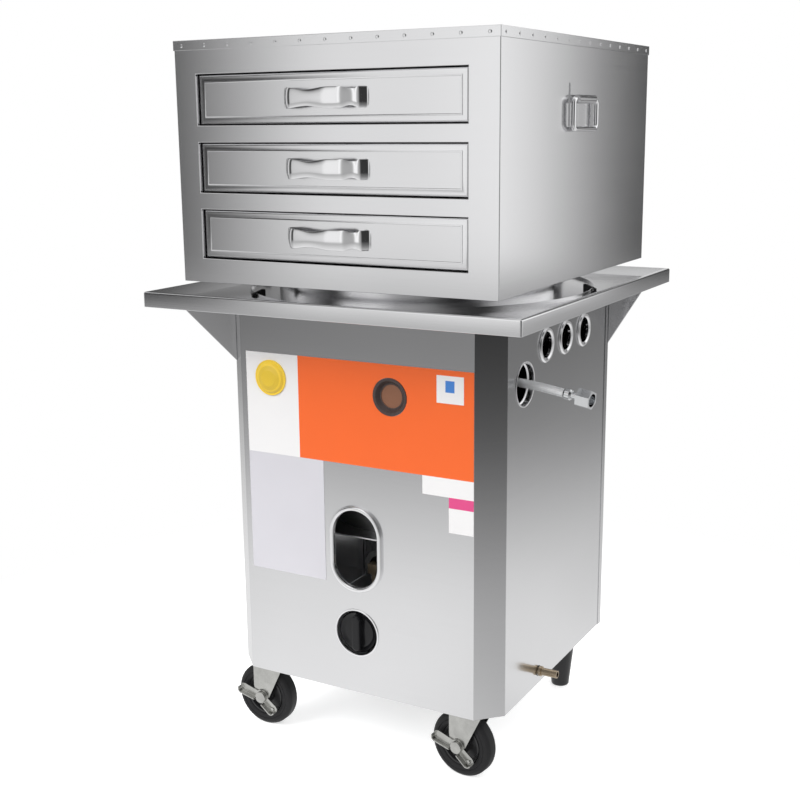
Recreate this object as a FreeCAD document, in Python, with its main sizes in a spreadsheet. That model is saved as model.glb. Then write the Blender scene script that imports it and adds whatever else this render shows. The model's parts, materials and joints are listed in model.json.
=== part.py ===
"""Rice noodle roll steamer: a gas stand on two casters and two feet, with a three-drawer steam box on top.

Millimetres, +Z up, the front towards -Y. The origin is on the floor, below the middle of the table.
"""
import FreeCAD, Part
import math
import os
import re
import Sketcher

Vector = FreeCAD.Vector
Rotation = FreeCAD.Rotation
Placement = FreeCAD.Placement

# Driving dimensions: alias, value, what it measures
DIMENSIONS = [
    # stand
    ("skin", 1.2, "stainless sheet of the cabinet, table and steam box"),
    ("spare", 2, "how far a cutter runs past what it cuts"),
    ("table_width", 620, "table across, left to right"),
    ("table_depth", 620, "table from front to back"),
    ("table_height", 730, "floor to the top of the table rim"),
    ("rim_height", 23, "height of the table's edge"),
    ("rim_land", 7, "flat top of the table rim"),
    ("rim_slope", 23, "run of the slope from the rim down to the panel"),
    ("recess_depth", 12, "panel below the top of the rim"),
    ("rim_round", 3, "rounding of the table's outer edges"),
    ("skirt_return", 12, "flange turned in under the table's edge"),
    ("pan_hole_gap", 7, "hole in the table, round the pan's wall"),
    ("cabinet_width", 470, "cabinet across the sides"),
    ("cabinet_depth", 438, "cabinet from front face to back face"),
    ("cabinet_chamfer", 35, "width and depth of the bevelled front corners"),
    ("lap", 15, "flange of one sheet behind the next"),
    ("back_return", 12, "return of the back sheet round the rear corners"),
    ("floor_rise", 11, "base plate above the lower edge of the sheets"),
    ("floor_plate", 3, "base plate thickness"),
    ("air_hole_radius", 90, "air opening in the base plate"),
    ("slot_width", 220, "air slot in the back sheet, across"),
    ("slot_height", 8, "air slot, height"),
    ("slot_pitch", 22, "air slot to air slot"),
    ("slot_rise", 30, "lowest air slot above the base plate"),
    ("post_leg", 25, "leg width of the corner angles"),
    ("post_wall", 3, "wall of the corner angles"),
    ("gusset_drop", 97, "gusset down below the table's edge"),
    ("gusset_plate", 2, "gusset thickness"),
    ("gusset_reach", 88, "front gusset outwards from the bevelled corner"),
    ("gusset_set", 6, "front gusset in from the outer edge of the bevel"),
    # water pan and furnace
    ("pan_side_gap", 14, "pan's wall in from the nearer cabinet walls"),
    ("pan_flange_radius", 272, "outside of the pan's flange"),
    ("pan_depth", 96, "depth of the pan below the table panel"),
    ("pan_corner", 25, "round between the pan's wall and bottom"),
    ("pan_lip", 4, "turned-up lip round the flange"),
    ("clip_length", 15, "pan clip inwards from the edge of the flange"),
    ("clip_toe", 5, "pan clip outwards from the edge of the flange"),
    ("clip_width", 9, "pan clip across"),
    ("clip_height", 10, "pan clip height at the pan side"),
    ("clip_toe_height", 3, "pan clip height at its outer end"),
    ("clip_flat", 4, "flat top of the pan clip"),
    ("clip_slot", 0.5, "pan clip clear of the lip that it grips"),
    ("shelf_height", 350, "floor to the top of the furnace shelf"),
    ("shelf_plate", 2, "shelf thickness"),
    ("shelf_hole_radius", 105, "opening in the shelf below the burner"),
    ("furnace_inset", 55, "furnace shell in from the pan's wall"),
    ("furnace_height", 248, "height of the furnace shell"),
    ("furnace_wall", 1.5, "furnace shell thickness"),
    ("lining_wall", 18, "refractory lining thickness"),
    ("lining_height", 200, "refractory lining height"),
    ("burner_radius", 78, "outside of the burner head"),
    ("burner_height", 24, "burner head height"),
    ("burner_ring", 26, "width of the burner's outer ring of ports"),
    ("burner_hub", 46, "burner's inner ring of ports, in from the outside"),
    ("burner_groove", 8, "depth of the groove between the rings"),
    ("bracket_end", 14, "bar's end past the opening in the shelf"),
    ("bracket_width", 30, "width of the bar that carries the burner"),
    ("bracket_plate", 4, "thickness of that bar"),
    ("mixer_radius", 17, "outside of the mixer tube"),
    ("mixer_wall", 2, "wall of the mixer tube"),
    ("mixer_z", 296, "height of the mixer tube's axis"),
    ("mixer_front", -150, "front end of the mixer tube"),
    ("bell_flare", 7, "mixer tube's bell mouth outside the tube"),
    ("bell_length", 16, "length of the bell mouth"),
    # openings and trim of the front
    ("window_x", 2.5, "observation window, across"),
    ("window_z", 345, "observation window, height of its middle"),
    ("window_width", 76, "clear width of the window"),
    ("window_height", 122, "clear height of the window"),
    ("window_ring", 7.5, "width of the rolled ring round the window"),
    ("window_proud", 6, "ring in front of the sheet"),
    ("knob_x", 1, "gas knob, across"),
    ("knob_z", 209, "gas knob, height of its axis"),
    ("knob_hole_radius", 36, "hole round the gas knob"),
    ("knob_ring", 2.5, "width of the hole's edge ring"),
    ("knob_radius", 33, "gas knob radius"),
    ("knob_height", 12, "gas knob dish, front to back"),
    ("knob_grip", 9, "grip in front of the dish"),
    ("stem_radius", 4, "gas tap stem radius"),
    ("stem_reach", 50, "inner end of the stem behind the front sheet"),
    ("tap_half", 15, "half the width and height of the gas tap's body"),
    ("tap_front", 36, "gas tap's body behind the front sheet"),
    ("tap_length", 40, "gas tap's body, front to back"),
    ("tap_nose", 12, "length of the tap's nose round the stem"),
    ("tap_nose_radius", 10, "radius of the tap's nose"),
    ("tap_riser", 5, "radius of the pipe from the tap up to the jet"),
    ("tap_elbow", 8, "half the side of the elbow behind the jet"),
    ("tap_toe", 24, "foot of the tap's bracket on the base plate"),
    ("tap_bracket", 2.5, "thickness of the bracket that carries the gas tap"),
    ("running_gap", 0.05, "radial clearance of pins and stems"),
    ("port_x", 64, "round port in the orange panel, across"),
    ("port_z", 587, "round port, height"),
    ("port_radius", 28, "outside of the port's cup"),
    ("port_lens_radius", 17.5, "lens in the middle of the cup"),
    ("port_depth", 14, "depth of the port's cup behind the sheet"),
    ("port_seat", 9, "lens seat behind the sheet"),
    ("disc_inset", 45.5, "yellow disc, in from the left edge of the white panel"),
    ("disc_z", 597, "yellow disc, height"),
    ("disc_radius", 27.5, "yellow disc radius"),
    ("disc_dome", 8, "height of the disc's dome"),
    ("film", 0.6, "thickness of the adhesive panels"),
    ("band_inset", 10, "white panel in from the left bevel"),
    ("band_end", 0.6, "orange panel in from the right bevel"),
    ("white_width", 95, "white panel width"),
    ("band_bottom", 477, "lower edge of both panels"),
    ("band_top", 635, "upper edge of both panels"),
    ("card_gap", 10, "bare card to the window's ring"),
    ("card_bottom", 286, "lower edge of the bare card"),
    ("tag_width", 82.4, "white strip below the orange panel, across"),
    ("tag_height", 28, "height of that strip"),
    ("head_width", 39.4, "label's head below the strip, across"),
    ("head_height", 53, "height of the label's head"),
    ("square_side", 43, "square on the orange panel, across"),
    ("square_height", 40, "height of that square"),
    ("square_in", 15.4, "square in from the right edge of the orange panel"),
    ("square_down", 8, "square below the upper edge of the orange panel"),
    # openings of the right side
    ("vent_y", 28.5, "middle one of the three vents"),
    ("vent_pitch", 76.5, "vent to vent"),
    ("vent_z", 650, "height of the vents"),
    ("vent_outer", 27, "outside of a vent ring"),
    ("vent_inner", 19.5, "inside of a vent ring"),
    ("vent_proud", 3.5, "vent ring in front of the sheet"),
    ("vent_tail", 3, "vent ring behind the face of the sheet"),
    ("hose_hole_y", -124, "hose hole, middle"),
    ("hose_hole_z", 604, "hose hole, height"),
    ("hose_hole_radius", 33, "hose hole radius"),
    ("inlet_y", -57, "gas inlet pipe, place along the side"),
    ("inlet_rise", 7, "gas inlet pipe's axis above the base plate"),
    ("inlet_radius", 6, "gas inlet pipe radius"),
    ("inlet_bore", 4.5, "gas inlet pipe bore radius"),
    ("inlet_proud", 32, "gas inlet pipe outside the cabinet"),
    # water feed
    ("feed_inset", 9, "feed pipe's axis in from the edge of the pan's flat bottom"),
    ("feed_z", 608, "height of the feed valve's axis"),
    ("feed_pipe_radius", 6, "feed pipe radius"),
    ("feed_body_radius", 11, "feed valve body radius"),
    ("feed_tail_radius", 8, "feed valve tail radius, where the hose starts"),
    ("feed_nut_radius", 9, "nut below the pan"),
    ("feed_bore", 4, "feed pipe bore radius"),
    ("feed_stand", 20, "feed pipe above the pan's bottom"),
    ("hose_radius", 6.5, "braided hose, outside radius"),
    ("coupling_af", 24, "hose nut across its flats"),
    ("ferrule_length", 11, "ferrule on the end of the hose"),
    ("nipple_length", 11, "nipple between the ferrule and the nut"),
    ("nipple_radius", 5, "nipple radius"),
    ("nut_length", 21, "hose nut length"),
    ("nut_floor", 5, "closed end of the hose nut"),
    ("thread_radius", 9.5, "thread inside the hose nut"),
    # running gear
    ("caster_inset_x", 54, "caster swivel axis, in from the cabinet side"),
    ("caster_inset_y", 33, "caster swivel axis, in from the cabinet front"),
    ("caster_trail", 13, "wheel axle behind the swivel axis"),
    ("wheel_radius", 52, "caster wheel radius"),
    ("wheel_width", 28, "caster wheel width"),
    ("wheel_side_gap", 2, "wheel to fork leg"),
    ("hub_radius", 33, "wheel hub radius"),
    ("fork_leg", 2.5, "fork sheet thickness"),
    ("crown_gap", 2.5, "fork crown above the tyre"),
    ("fork_boss", 12, "radius of the fork leg round the axle"),
    ("fork_shoulder", 17, "end of the fork leg's upright edge, above the axle"),
    ("fork_reach", 29, "fork crown from the swivel axis to its edge over the wheel"),
    ("fork_heel", 28, "fork crown from the swivel axis to its other edge"),
    ("race_radius", 18, "swivel race radius"),
    ("race_gap", 0.3, "swivel race above the fork crown"),
    ("race_height", 8.7, "swivel race height"),
    ("axle_radius", 6, "axle bolt radius"),
    ("axle_head", 9.5, "radius of the axle bolt's head and nut"),
    ("axle_head_height", 4.5, "height of the axle bolt's head and nut"),
    ("screw_head", 4.5, "caster screw head radius"),
    ("screw_height", 3.5, "caster screw head height"),
    ("screw_edge", 7, "caster screws in from the edge of the top plate"),
    ("kingpin_radius", 5, "swivel rivet radius"),
    ("top_plate", 48, "caster top plate, side"),
    ("top_plate_thick", 3, "caster top plate thickness"),
    ("brake_sheet", 2, "brake lever sheet thickness"),
    ("brake_gap", 0.2, "brake lever to the fork leg and to the axle nut"),
    ("brake_top", 43, "brake lever from its pivot to the upper pedal's end"),
    ("brake_bottom", 35, "brake lever from its pivot to the lower pedal's end"),
    ("brake_width", 16, "brake lever width"),
    ("brake_bend", 6.5, "both pedals aside of the pivot"),
    ("brake_lip", 10, "raised lip along the lower edge of the brake lever"),
    ("brake_rivet", 3.2, "rivet radius at the lower pedal"),
    ("brake_rivet_height", 2.5, "rivet height at the lower pedal"),
    ("brake_seat", 11, "radius kept clear of the lip round the axle nut"),
    ("foot_inset_x", 55, "rear foot, in from the cabinet side"),
    ("foot_inset_y", 44, "rear foot, in from the cabinet back"),
    ("foot_bottom_radius", 15, "rear foot radius on the floor"),
    ("foot_top_radius", 28, "rear foot radius at the base plate"),
    # steam box
    ("box_width", 515, "steam box across"),
    ("box_depth", 575, "steam box from front to back"),
    ("box_height", 345, "steam box from its floor to the top of its lid"),
    ("box_rise", 17, "floor of the steam box above the table rim"),
    ("box_x", 8, "middle of the steam box, across"),
    ("box_y", 4, "middle of the steam box, front to back"),
    ("collar_radius", 226, "collar below the steam box"),
    ("lid_flange", 14, "flange of the lid down the walls"),
    ("rivet_radius", 2.6, "lid rivet head radius"),
    ("rivet_height", 1.1, "lid rivet head height"),
    ("rivet_margin", 14, "first rivet from a corner of the lid"),
    # drawers
    ("drawer_x", 4, "middle of the drawers, across"),
    ("drawer_width", 431, "drawer front width"),
    ("drawer_height", 69, "drawer front height"),
    ("drawer_gap", 1.5, "gap round a drawer front"),
    ("drawer_pitch", 95.5, "drawer to drawer"),
    ("drawer_rise", 71, "middle of the lowest drawer above the box floor"),
    ("drawer_recess", 5, "drawer front behind the face of the box"),
    ("drawer_thick", 18, "drawer front, front to back"),
    ("drawer_round", 3.5, "rounding of the drawer front"),
    ("bead_inset", 9, "raised line in from the edge of a drawer front"),
    ("bead_width", 2, "width of the raised line"),
    ("bead_height", 0.7, "height of the raised line"),
    ("bead_sink", 0.01, "root of the raised line inside the front sheet"),
    ("opening_return", 10, "sheet turned in round a drawer opening"),
    ("tray_sheet", 1, "tray thickness"),
    ("tray_length", 520, "tray from front to back"),
    ("tray_depth", 24, "tray depth"),
    ("tray_lip", 6, "tray lip that rides on the runner"),
    ("tray_side_gap", 1.5, "tray lip to the side of its opening"),
    ("runner_sheet", 1.5, "runner thickness"),
    ("runner_leg", 14, "runner flange on the box wall"),
    ("slide_gap", 0.3, "tray lip above its runner"),
    ("pull_length", 135, "drawer pull, foot to foot"),
    ("pull_width", 28, "drawer pull strap width"),
    ("pull_sheet", 2, "drawer pull strap thickness"),
    ("pull_reach", 18, "drawer pull grip in front of the drawer"),
    ("pull_crest", 24, "highest part of the drawer pull"),
    ("pull_heel", 8, "scooped heel of the drawer pull"),
    ("pull_scoop", 17, "radius of the scoop under the heel"),
    ("pull_rise", 12, "run of the heel's slope up to the grip"),
    ("grip_waist", 3.5, "depth of the grip's waist"),
    ("step_waist", 3, "depth of the waist in the slope"),
    ("pull_grip", 60, "waisted grip of the drawer pull"),
    ("pull_ramp", 12, "ramp from the grip up to the flat"),
    ("pull_flat", 23, "raised flat of the drawer pull"),
    ("pull_step", 20, "waisted slope down from the flat"),
    ("pull_leg", 5, "run of the drawer pull's leg"),
    # side handles
    ("bail_y", -12, "side handle, along the box wall"),
    ("bail_drop", 87, "axis of the side handle below the top of the lid"),
    ("bail_width", 90, "side handle ring, between wire centres"),
    ("bail_height", 42, "side handle ring, between wire centres"),
    ("bail_wire", 3.5, "side handle wire radius"),
    ("bail_corner", 8, "bend of the wire"),
    ("ear_plate", 1.5, "side handle plate thickness"),
    ("ear_width", 86, "side handle plate width"),
    ("ear_above", 22, "plate above the axis"),
    ("ear_below", 38, "plate below the axis"),
    ("barrel_radius", 6, "rolled barrel that holds the wire"),
    ("barrel_length", 66, "length of the barrel"),
]

VALUES = {alias: value for alias, value, note in DIMENSIONS}
pieces = []

doc = FreeCAD.newDocument("RiceRollSteamer")
sheet = doc.addObject("Spreadsheet::Sheet", "dims")
for row, (alias, value, note) in enumerate(DIMENSIONS, start=1):
    sheet.set(f"A{row}", note)
    sheet.set(f"B{row}", str(value))
    sheet.setAlias(f"B{row}", alias)
doc.recompute()


# Places that many pieces share, as expressions of the driving dimensions
HALF_W = "cabinet_width / 2"
HALF_D = "cabinet_depth / 2"
PANEL_TOP = "(table_height - recess_depth)"
PANEL_UNDER = "(table_height - recess_depth - skin)"
EDGE_UNDER = "(table_height - rim_height)"
CROWN_UNDER = "(2 * wheel_radius + crown_gap)"
CROWN_TOP = "(2 * wheel_radius + crown_gap + fork_leg)"
PLATE_UNDER = f"({CROWN_TOP} + race_gap + race_height)"
FLOOR_UNDER = f"({PLATE_UNDER} + top_plate_thick)"
FLOOR_TOP = f"({FLOOR_UNDER} + floor_plate)"
CABINET_BOTTOM = f"({FLOOR_UNDER} - floor_rise)"
INLET_Z = f"({FLOOR_TOP} + inlet_rise)"
PAN_RADIUS = "(min(cabinet_width; cabinet_depth) / 2 - pan_side_gap)"
FURNACE_RADIUS = f"({PAN_RADIUS} - furnace_inset)"
FEED_X = f"sqrt(({PAN_RADIUS} - pan_corner - feed_inset) ^ 2 - hose_hole_y ^ 2)"
FRONT_FACE = "(-cabinet_depth / 2)"
BAND_LEFT = "(-cabinet_width / 2 + cabinet_chamfer + band_inset)"
BAND_RIGHT = "(cabinet_width / 2 - cabinet_chamfer - band_end)"
BAND_SPLIT = f"({BAND_LEFT} + white_width)"
DISC_X = f"({BAND_LEFT} + disc_inset)"
SHELF_UNDER = "(shelf_height - shelf_plate)"
FORK_INNER = "(wheel_width / 2 + wheel_side_gap)"
FORK_OUTER = "(wheel_width / 2 + wheel_side_gap + fork_leg)"
PAN_FLANGE_TOP = "(table_height - recess_depth + skin)"
BOX_FLOOR = "(table_height + box_rise)"
BOX_TOP = "(table_height + box_rise + box_height)"
BOX_LEFT = "(box_x - box_width / 2)"
BOX_RIGHT = "(box_x + box_width / 2)"
BOX_FRONT = "(box_y - box_depth / 2)"
BOX_BACK = "(box_y + box_depth / 2)"
OPENING_HALF = "(drawer_width / 2 + drawer_gap)"
DRAWER_FACE = "(box_y - box_depth / 2 + drawer_recess)"
TRAY_FRONT = "(box_y - box_depth / 2 + drawer_recess + drawer_thick)"
TRAY_HALF = "(drawer_width / 2 + drawer_gap - tray_side_gap - tray_lip)"
BAIL_Z = "(table_height + box_rise + box_height - bail_drop)"
BAIL_OUT = "(ear_plate + barrel_radius)"


def ex(text):
    """Point the dimension names in an expression at the sheet."""
    def pointed(word):
        return "dims." + word[0] if word[0] in VALUES else word[0]
    return re.sub(r"[A-Za-z_]\w*", pointed, str(text))


def num(text):
    """Present value of an expression."""
    return float(sheet.evalExpression(ex(text)))


def add(kind, name):
    return doc.addObject(kind, name)


def bind(target, **expressions):
    """Bind properties of an object to expressions."""
    for name, text in expressions.items():
        target.setExpression(name, ex(text))
    return target


def place(target, x="0", y="0", z="0", turn=None):
    """Put an object at three expressions, turned about its own origin."""
    if turn:
        target.Placement = Placement(Vector(), Rotation(*turn))
    for axis, text in zip("xyz", (x, y, z)):
        target.setExpression(f"Placement.Base.{axis}", ex(text))
    return target


TURNS = {"Z": None, "X": (Vector(0, 1, 0), 90), "Y": (Vector(1, 0, 0), -90)}


def box(name, x, y, z):
    """A block between two expressions along each axis."""
    block = add("Part::Box", name)
    spans = [f"({high}) - ({low})" for low, high in (x, y, z)]
    bind(block, Length=spans[0], Width=spans[1], Height=spans[2])
    return place(block, x[0], y[0], z[0])


def rod(name, axis, at, radius, low, high, far_radius=None):
    """A cylinder, or a cone with far_radius, from low to high along X, Y or Z, its axis at two places."""
    kind = "Part::Cone" if far_radius else "Part::Cylinder"
    shape = add(kind, name)
    if far_radius:
        bind(shape, Radius1=radius, Radius2=far_radius, Height=f"({high}) - ({low})")
    else:
        bind(shape, Radius=radius, Height=f"({high}) - ({low})")
    where = {"X": (low, *at), "Y": (at[0], low, at[1]), "Z": (*at, low)}[axis]
    return place(shape, *where, turn=TURNS[axis])


def fuse(name, *shapes):
    joined = add("Part::MultiFuse", name)
    joined.Shapes = list(shapes)
    return joined


def past(low, high):
    """A cutter's span: from before low to beyond high."""
    return f"{low} - spare", f"{high} + spare"


def cut(name, base, *tools):
    """Base minus every tool."""
    result = add("Part::Cut", name)
    result.Base = base
    result.Tool = tools[0] if len(tools) == 1 else fuse(name + "_tools", *tools)
    return result


def group(name, *shapes):
    """Separate solids that share a node."""
    compound = add("Part::Compound", name)
    compound.Links = list(shapes)
    return compound


def piece(node, shape):
    """Name a finished sub-part."""
    shape.Label = node
    pieces.append(shape)
    return shape


def origin_plane(body, role):
    return next(feature for feature in body.Origin.OriginFeatures if feature.Role == role)


def outline(body, name, plane, *loops, offset="0"):
    """A sketch on one of the body's origin planes.

    A loop is a circle (x, y, radius) or a list of corners. A corner is (x, y), or (x, y, cx, cy) where the
    edge to the next corner is the shorter arc round (cx, cy). Every place is an expression.
    """
    sketch = body.newObject("Sketcher::SketchObject", name)
    sketch.AttachmentSupport = (origin_plane(body, plane), [""])
    sketch.MapMode = "FlatFace"
    sketch.setExpression("AttachmentOffset.Base.z", ex(offset))

    def hold(kind, index, point, text):
        constraint = sketch.addConstraint(Sketcher.Constraint(kind, -1, 1, index, point, num(text)))
        sketch.setExpression(f"Constraints[{constraint}]", ex(text))

    for loop in loops:
        if isinstance(loop, tuple):
            x, y, radius = loop
            ring = Part.Circle(Vector(num(x), num(y), 0), Vector(0, 0, 1), num(radius))
            circle = sketch.addGeometry(ring)
            hold("DistanceX", circle, 3, x)
            hold("DistanceY", circle, 3, y)
            size = sketch.addConstraint(Sketcher.Constraint("Radius", circle, num(radius)))
            sketch.setExpression(f"Constraints[{size}]", ex(radius))
            continue
        corners = [Vector(num(corner[0]), num(corner[1]), 0) for corner in loop]
        following = corners[1:] + corners[:1]
        starts = []
        for corner, here, there in zip(loop, corners, following):
            if len(corner) == 2:
                starts.append((sketch.addGeometry(Part.LineSegment(here, there)), 1, 2))
                continue
            centre = Vector(num(corner[2]), num(corner[3]), 0)
            first = math.atan2(here.y - centre.y, here.x - centre.x)
            last = math.atan2(there.y - centre.y, there.x - centre.x)
            forward = (last - first) % (2 * math.pi) <= math.pi + 1e-6
            circle = Part.Circle(centre, Vector(0, 0, 1), (here - centre).Length)
            ends = (first, last) if forward else (last, first)
            index = sketch.addGeometry(Part.ArcOfCircle(circle, *ends))
            starts.append((index, 1, 2) if forward else (index, 2, 1))
            flat_chord = abs(there.x - here.x) > abs(there.y - here.y)
            held = ("DistanceY", index, 3, corner[3]) if flat_chord else ("DistanceX", index, 3, corner[2])
            hold(*held)
        for (index, _, end), (after, start, _) in zip(starts, starts[1:] + starts[:1]):
            sketch.addConstraint(Sketcher.Constraint("Coincident", index, end, after, start))
        for (index, start, _), corner in zip(starts, loop):
            hold("DistanceX", index, start, corner[0])
            hold("DistanceY", index, start, corner[1])
    return sketch


def pad(body, sketch, length):
    feature = body.newObject("PartDesign::Pad", body.Name + "_pad")
    feature.Profile = sketch
    bind(feature, Length=length)
    return feature


def plate(name, plane, low, high, *loops):
    """A body padded between two places along the plane's normal axis, which is Z, Y or X."""
    body = add("PartDesign::Body", name)
    offset = f"-({high})" if plane == "XZ_Plane" else low
    pad(body, outline(body, name + "_outline", plane, *loops, offset=offset), f"({high}) - ({low})")
    return body


def turned(name, profile):
    """A body revolved about its own Z axis from a profile of (radius, height) corners."""
    body = add("PartDesign::Body", name)
    sketch = outline(body, name + "_profile", "XZ_Plane", profile)
    feature = body.newObject("PartDesign::Revolution", name + "_turn")
    feature.Profile = sketch
    feature.ReferenceAxis = (sketch, ["V_Axis"])
    feature.Angle = 360
    return body


def rectangle(x, y):
    """Corners of a rectangle between two expressions each way."""
    return [(x[0], y[0]), (x[1], y[0]), (x[1], y[1]), (x[0], y[1])]


def edges_where(shape, test):
    """Names of the edges whose middle point and direction pass a test."""
    names = []
    for index, edge in enumerate(shape.Edges, start=1):
        middle = edge.valueAt((edge.FirstParameter + edge.LastParameter) / 2)
        if test(middle, edge):
            names.append(f"Edge{index}")
    return names


def dress(body, kind, base, names, size):
    """A fillet or chamfer of the named edges."""
    doc.recompute()
    feature = body.newObject("PartDesign::" + kind, f"{body.Name}_{kind.lower()}")
    feature.Base = (base, names)
    bind(feature, **{"Radius" if kind == "Fillet" else "Size": size})
    body.Tip = feature
    return feature


def hollow(body, base, face_test, wall):
    """Turn a solid body into a sheet shell, open at the face that passes the test."""
    doc.recompute()
    faces = [f"Face{i}" for i, face in enumerate(base.Shape.Faces, start=1) if face_test(face)]
    shell = body.newObject("PartDesign::Thickness", body.Name + "_shell")
    shell.Base = (base, faces)
    shell.Reversed = True
    bind(shell, Value=wall)
    body.Tip = shell
    return shell


# ---------------------------------------------------------------- stand

def build_table():
    """Pressed tray with a raised rim, a turned-in skirt and a round hole for the pan."""
    half_w = "table_width / 2"
    half_d = "table_depth / 2"
    body = add("PartDesign::Body", "table_body")
    square = outline(body, "table_outline", "XY_Plane",
                     rectangle((f"-{half_w}", half_w), (f"-{half_d}", half_d)), offset=EDGE_UNDER)
    pad(body, square, "rim_height")
    lip_w = f"{half_w} - rim_land"
    lip_d = f"{half_d} - rim_land"
    mouth = outline(body, "table_mouth", "XY_Plane",
                    rectangle((f"-({lip_w})", lip_w), (f"-({lip_d})", lip_d)), offset="table_height")
    recess = body.newObject("PartDesign::Pocket", "table_recess")
    recess.Profile = mouth
    bind(recess, Length="recess_depth", TaperAngle="-atan(rim_slope / recess_depth)")
    doc.recompute()
    top = num("table_height")

    def outer_edge(middle, edge):
        upright = abs(edge.tangentAt(edge.FirstParameter).z) > 0.9
        outside = max(abs(middle.x) - num(half_w), abs(middle.y) - num(half_d)) > -0.01
        return outside and (upright or middle.z > top - 0.01)

    rounded = dress(body, "Fillet", recess, edges_where(recess.Shape, outer_edge), "rim_round")
    under = num(EDGE_UNDER)
    hollow(body, rounded, lambda face: face.BoundBox.ZMax < under + 0.01, "skin")
    inner_w, inner_d = f"{half_w} - skin", f"{half_d} - skin"
    ring_w, ring_d = f"{inner_w} - skirt_return", f"{inner_d} - skirt_return"
    flange = outline(body, "table_return", "XY_Plane",
                     rectangle((f"-({inner_w})", inner_w), (f"-({inner_d})", inner_d)),
                     rectangle((f"-({ring_w})", ring_w), (f"-({ring_d})", ring_d)), offset=EDGE_UNDER)
    body.Tip = pad(body, flange, "skin")
    opening = rod("table_hole", "Z", ("0", "0"), f"{PAN_RADIUS} + pan_hole_gap",
                  *past(PANEL_UNDER, PANEL_TOP))
    piece("table_top", cut("table_cut", body, opening))


def build_gussets():
    """Triangular brackets: a slanting one on the left front bevel and one at each rear corner."""
    def gusset(name, span, root, tip):
        foot = f"{EDGE_UNDER} - gusset_drop"
        return plate(name, "XZ_Plane", *span, [
            (root, PANEL_UNDER), (tip, PANEL_UNDER), (tip, EDGE_UNDER), (root, foot)])

    front = gusset("gusset_left_front", ("-gusset_plate / 2", "gusset_plate / 2"), "0", "gusset_reach")
    corner = ("(gusset_set - cabinet_width / 2)", "(cabinet_chamfer - gusset_set - cabinet_depth / 2)")
    place(front, *corner, turn=(Vector(0, 0, 1), 225))
    at_back = (f"{HALF_D} - gusset_plate", HALF_D)
    rear = [gusset(f"gusset_{word}_rear", at_back, f"({side} * ({HALF_W} + skin))",
                   f"({side} * (table_width / 2 - skin - skirt_return))")
            for word, side in (("left", "-1"), ("right", "1"))]
    piece("table_gussets", group("gussets", front, *rear))


def stadium(name, x, z, width, height, low, high):
    """A block with round ends along Z, from low to high along Y."""
    half = f"({width}) / 2"
    straight = f"(({height}) - ({width})) / 2"
    return plate(name, "XZ_Plane", low, high, stadium_loop(x, z, half, straight))


def stadium_loop(x, z, half, straight):
    left, right = f"{x} - ({half})", f"{x} + ({half})"
    low, high = f"{z} - ({straight})", f"{z} + ({straight})"
    return [(right, high, x, high), (left, high), (left, low, x, low), (right, low)]


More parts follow.
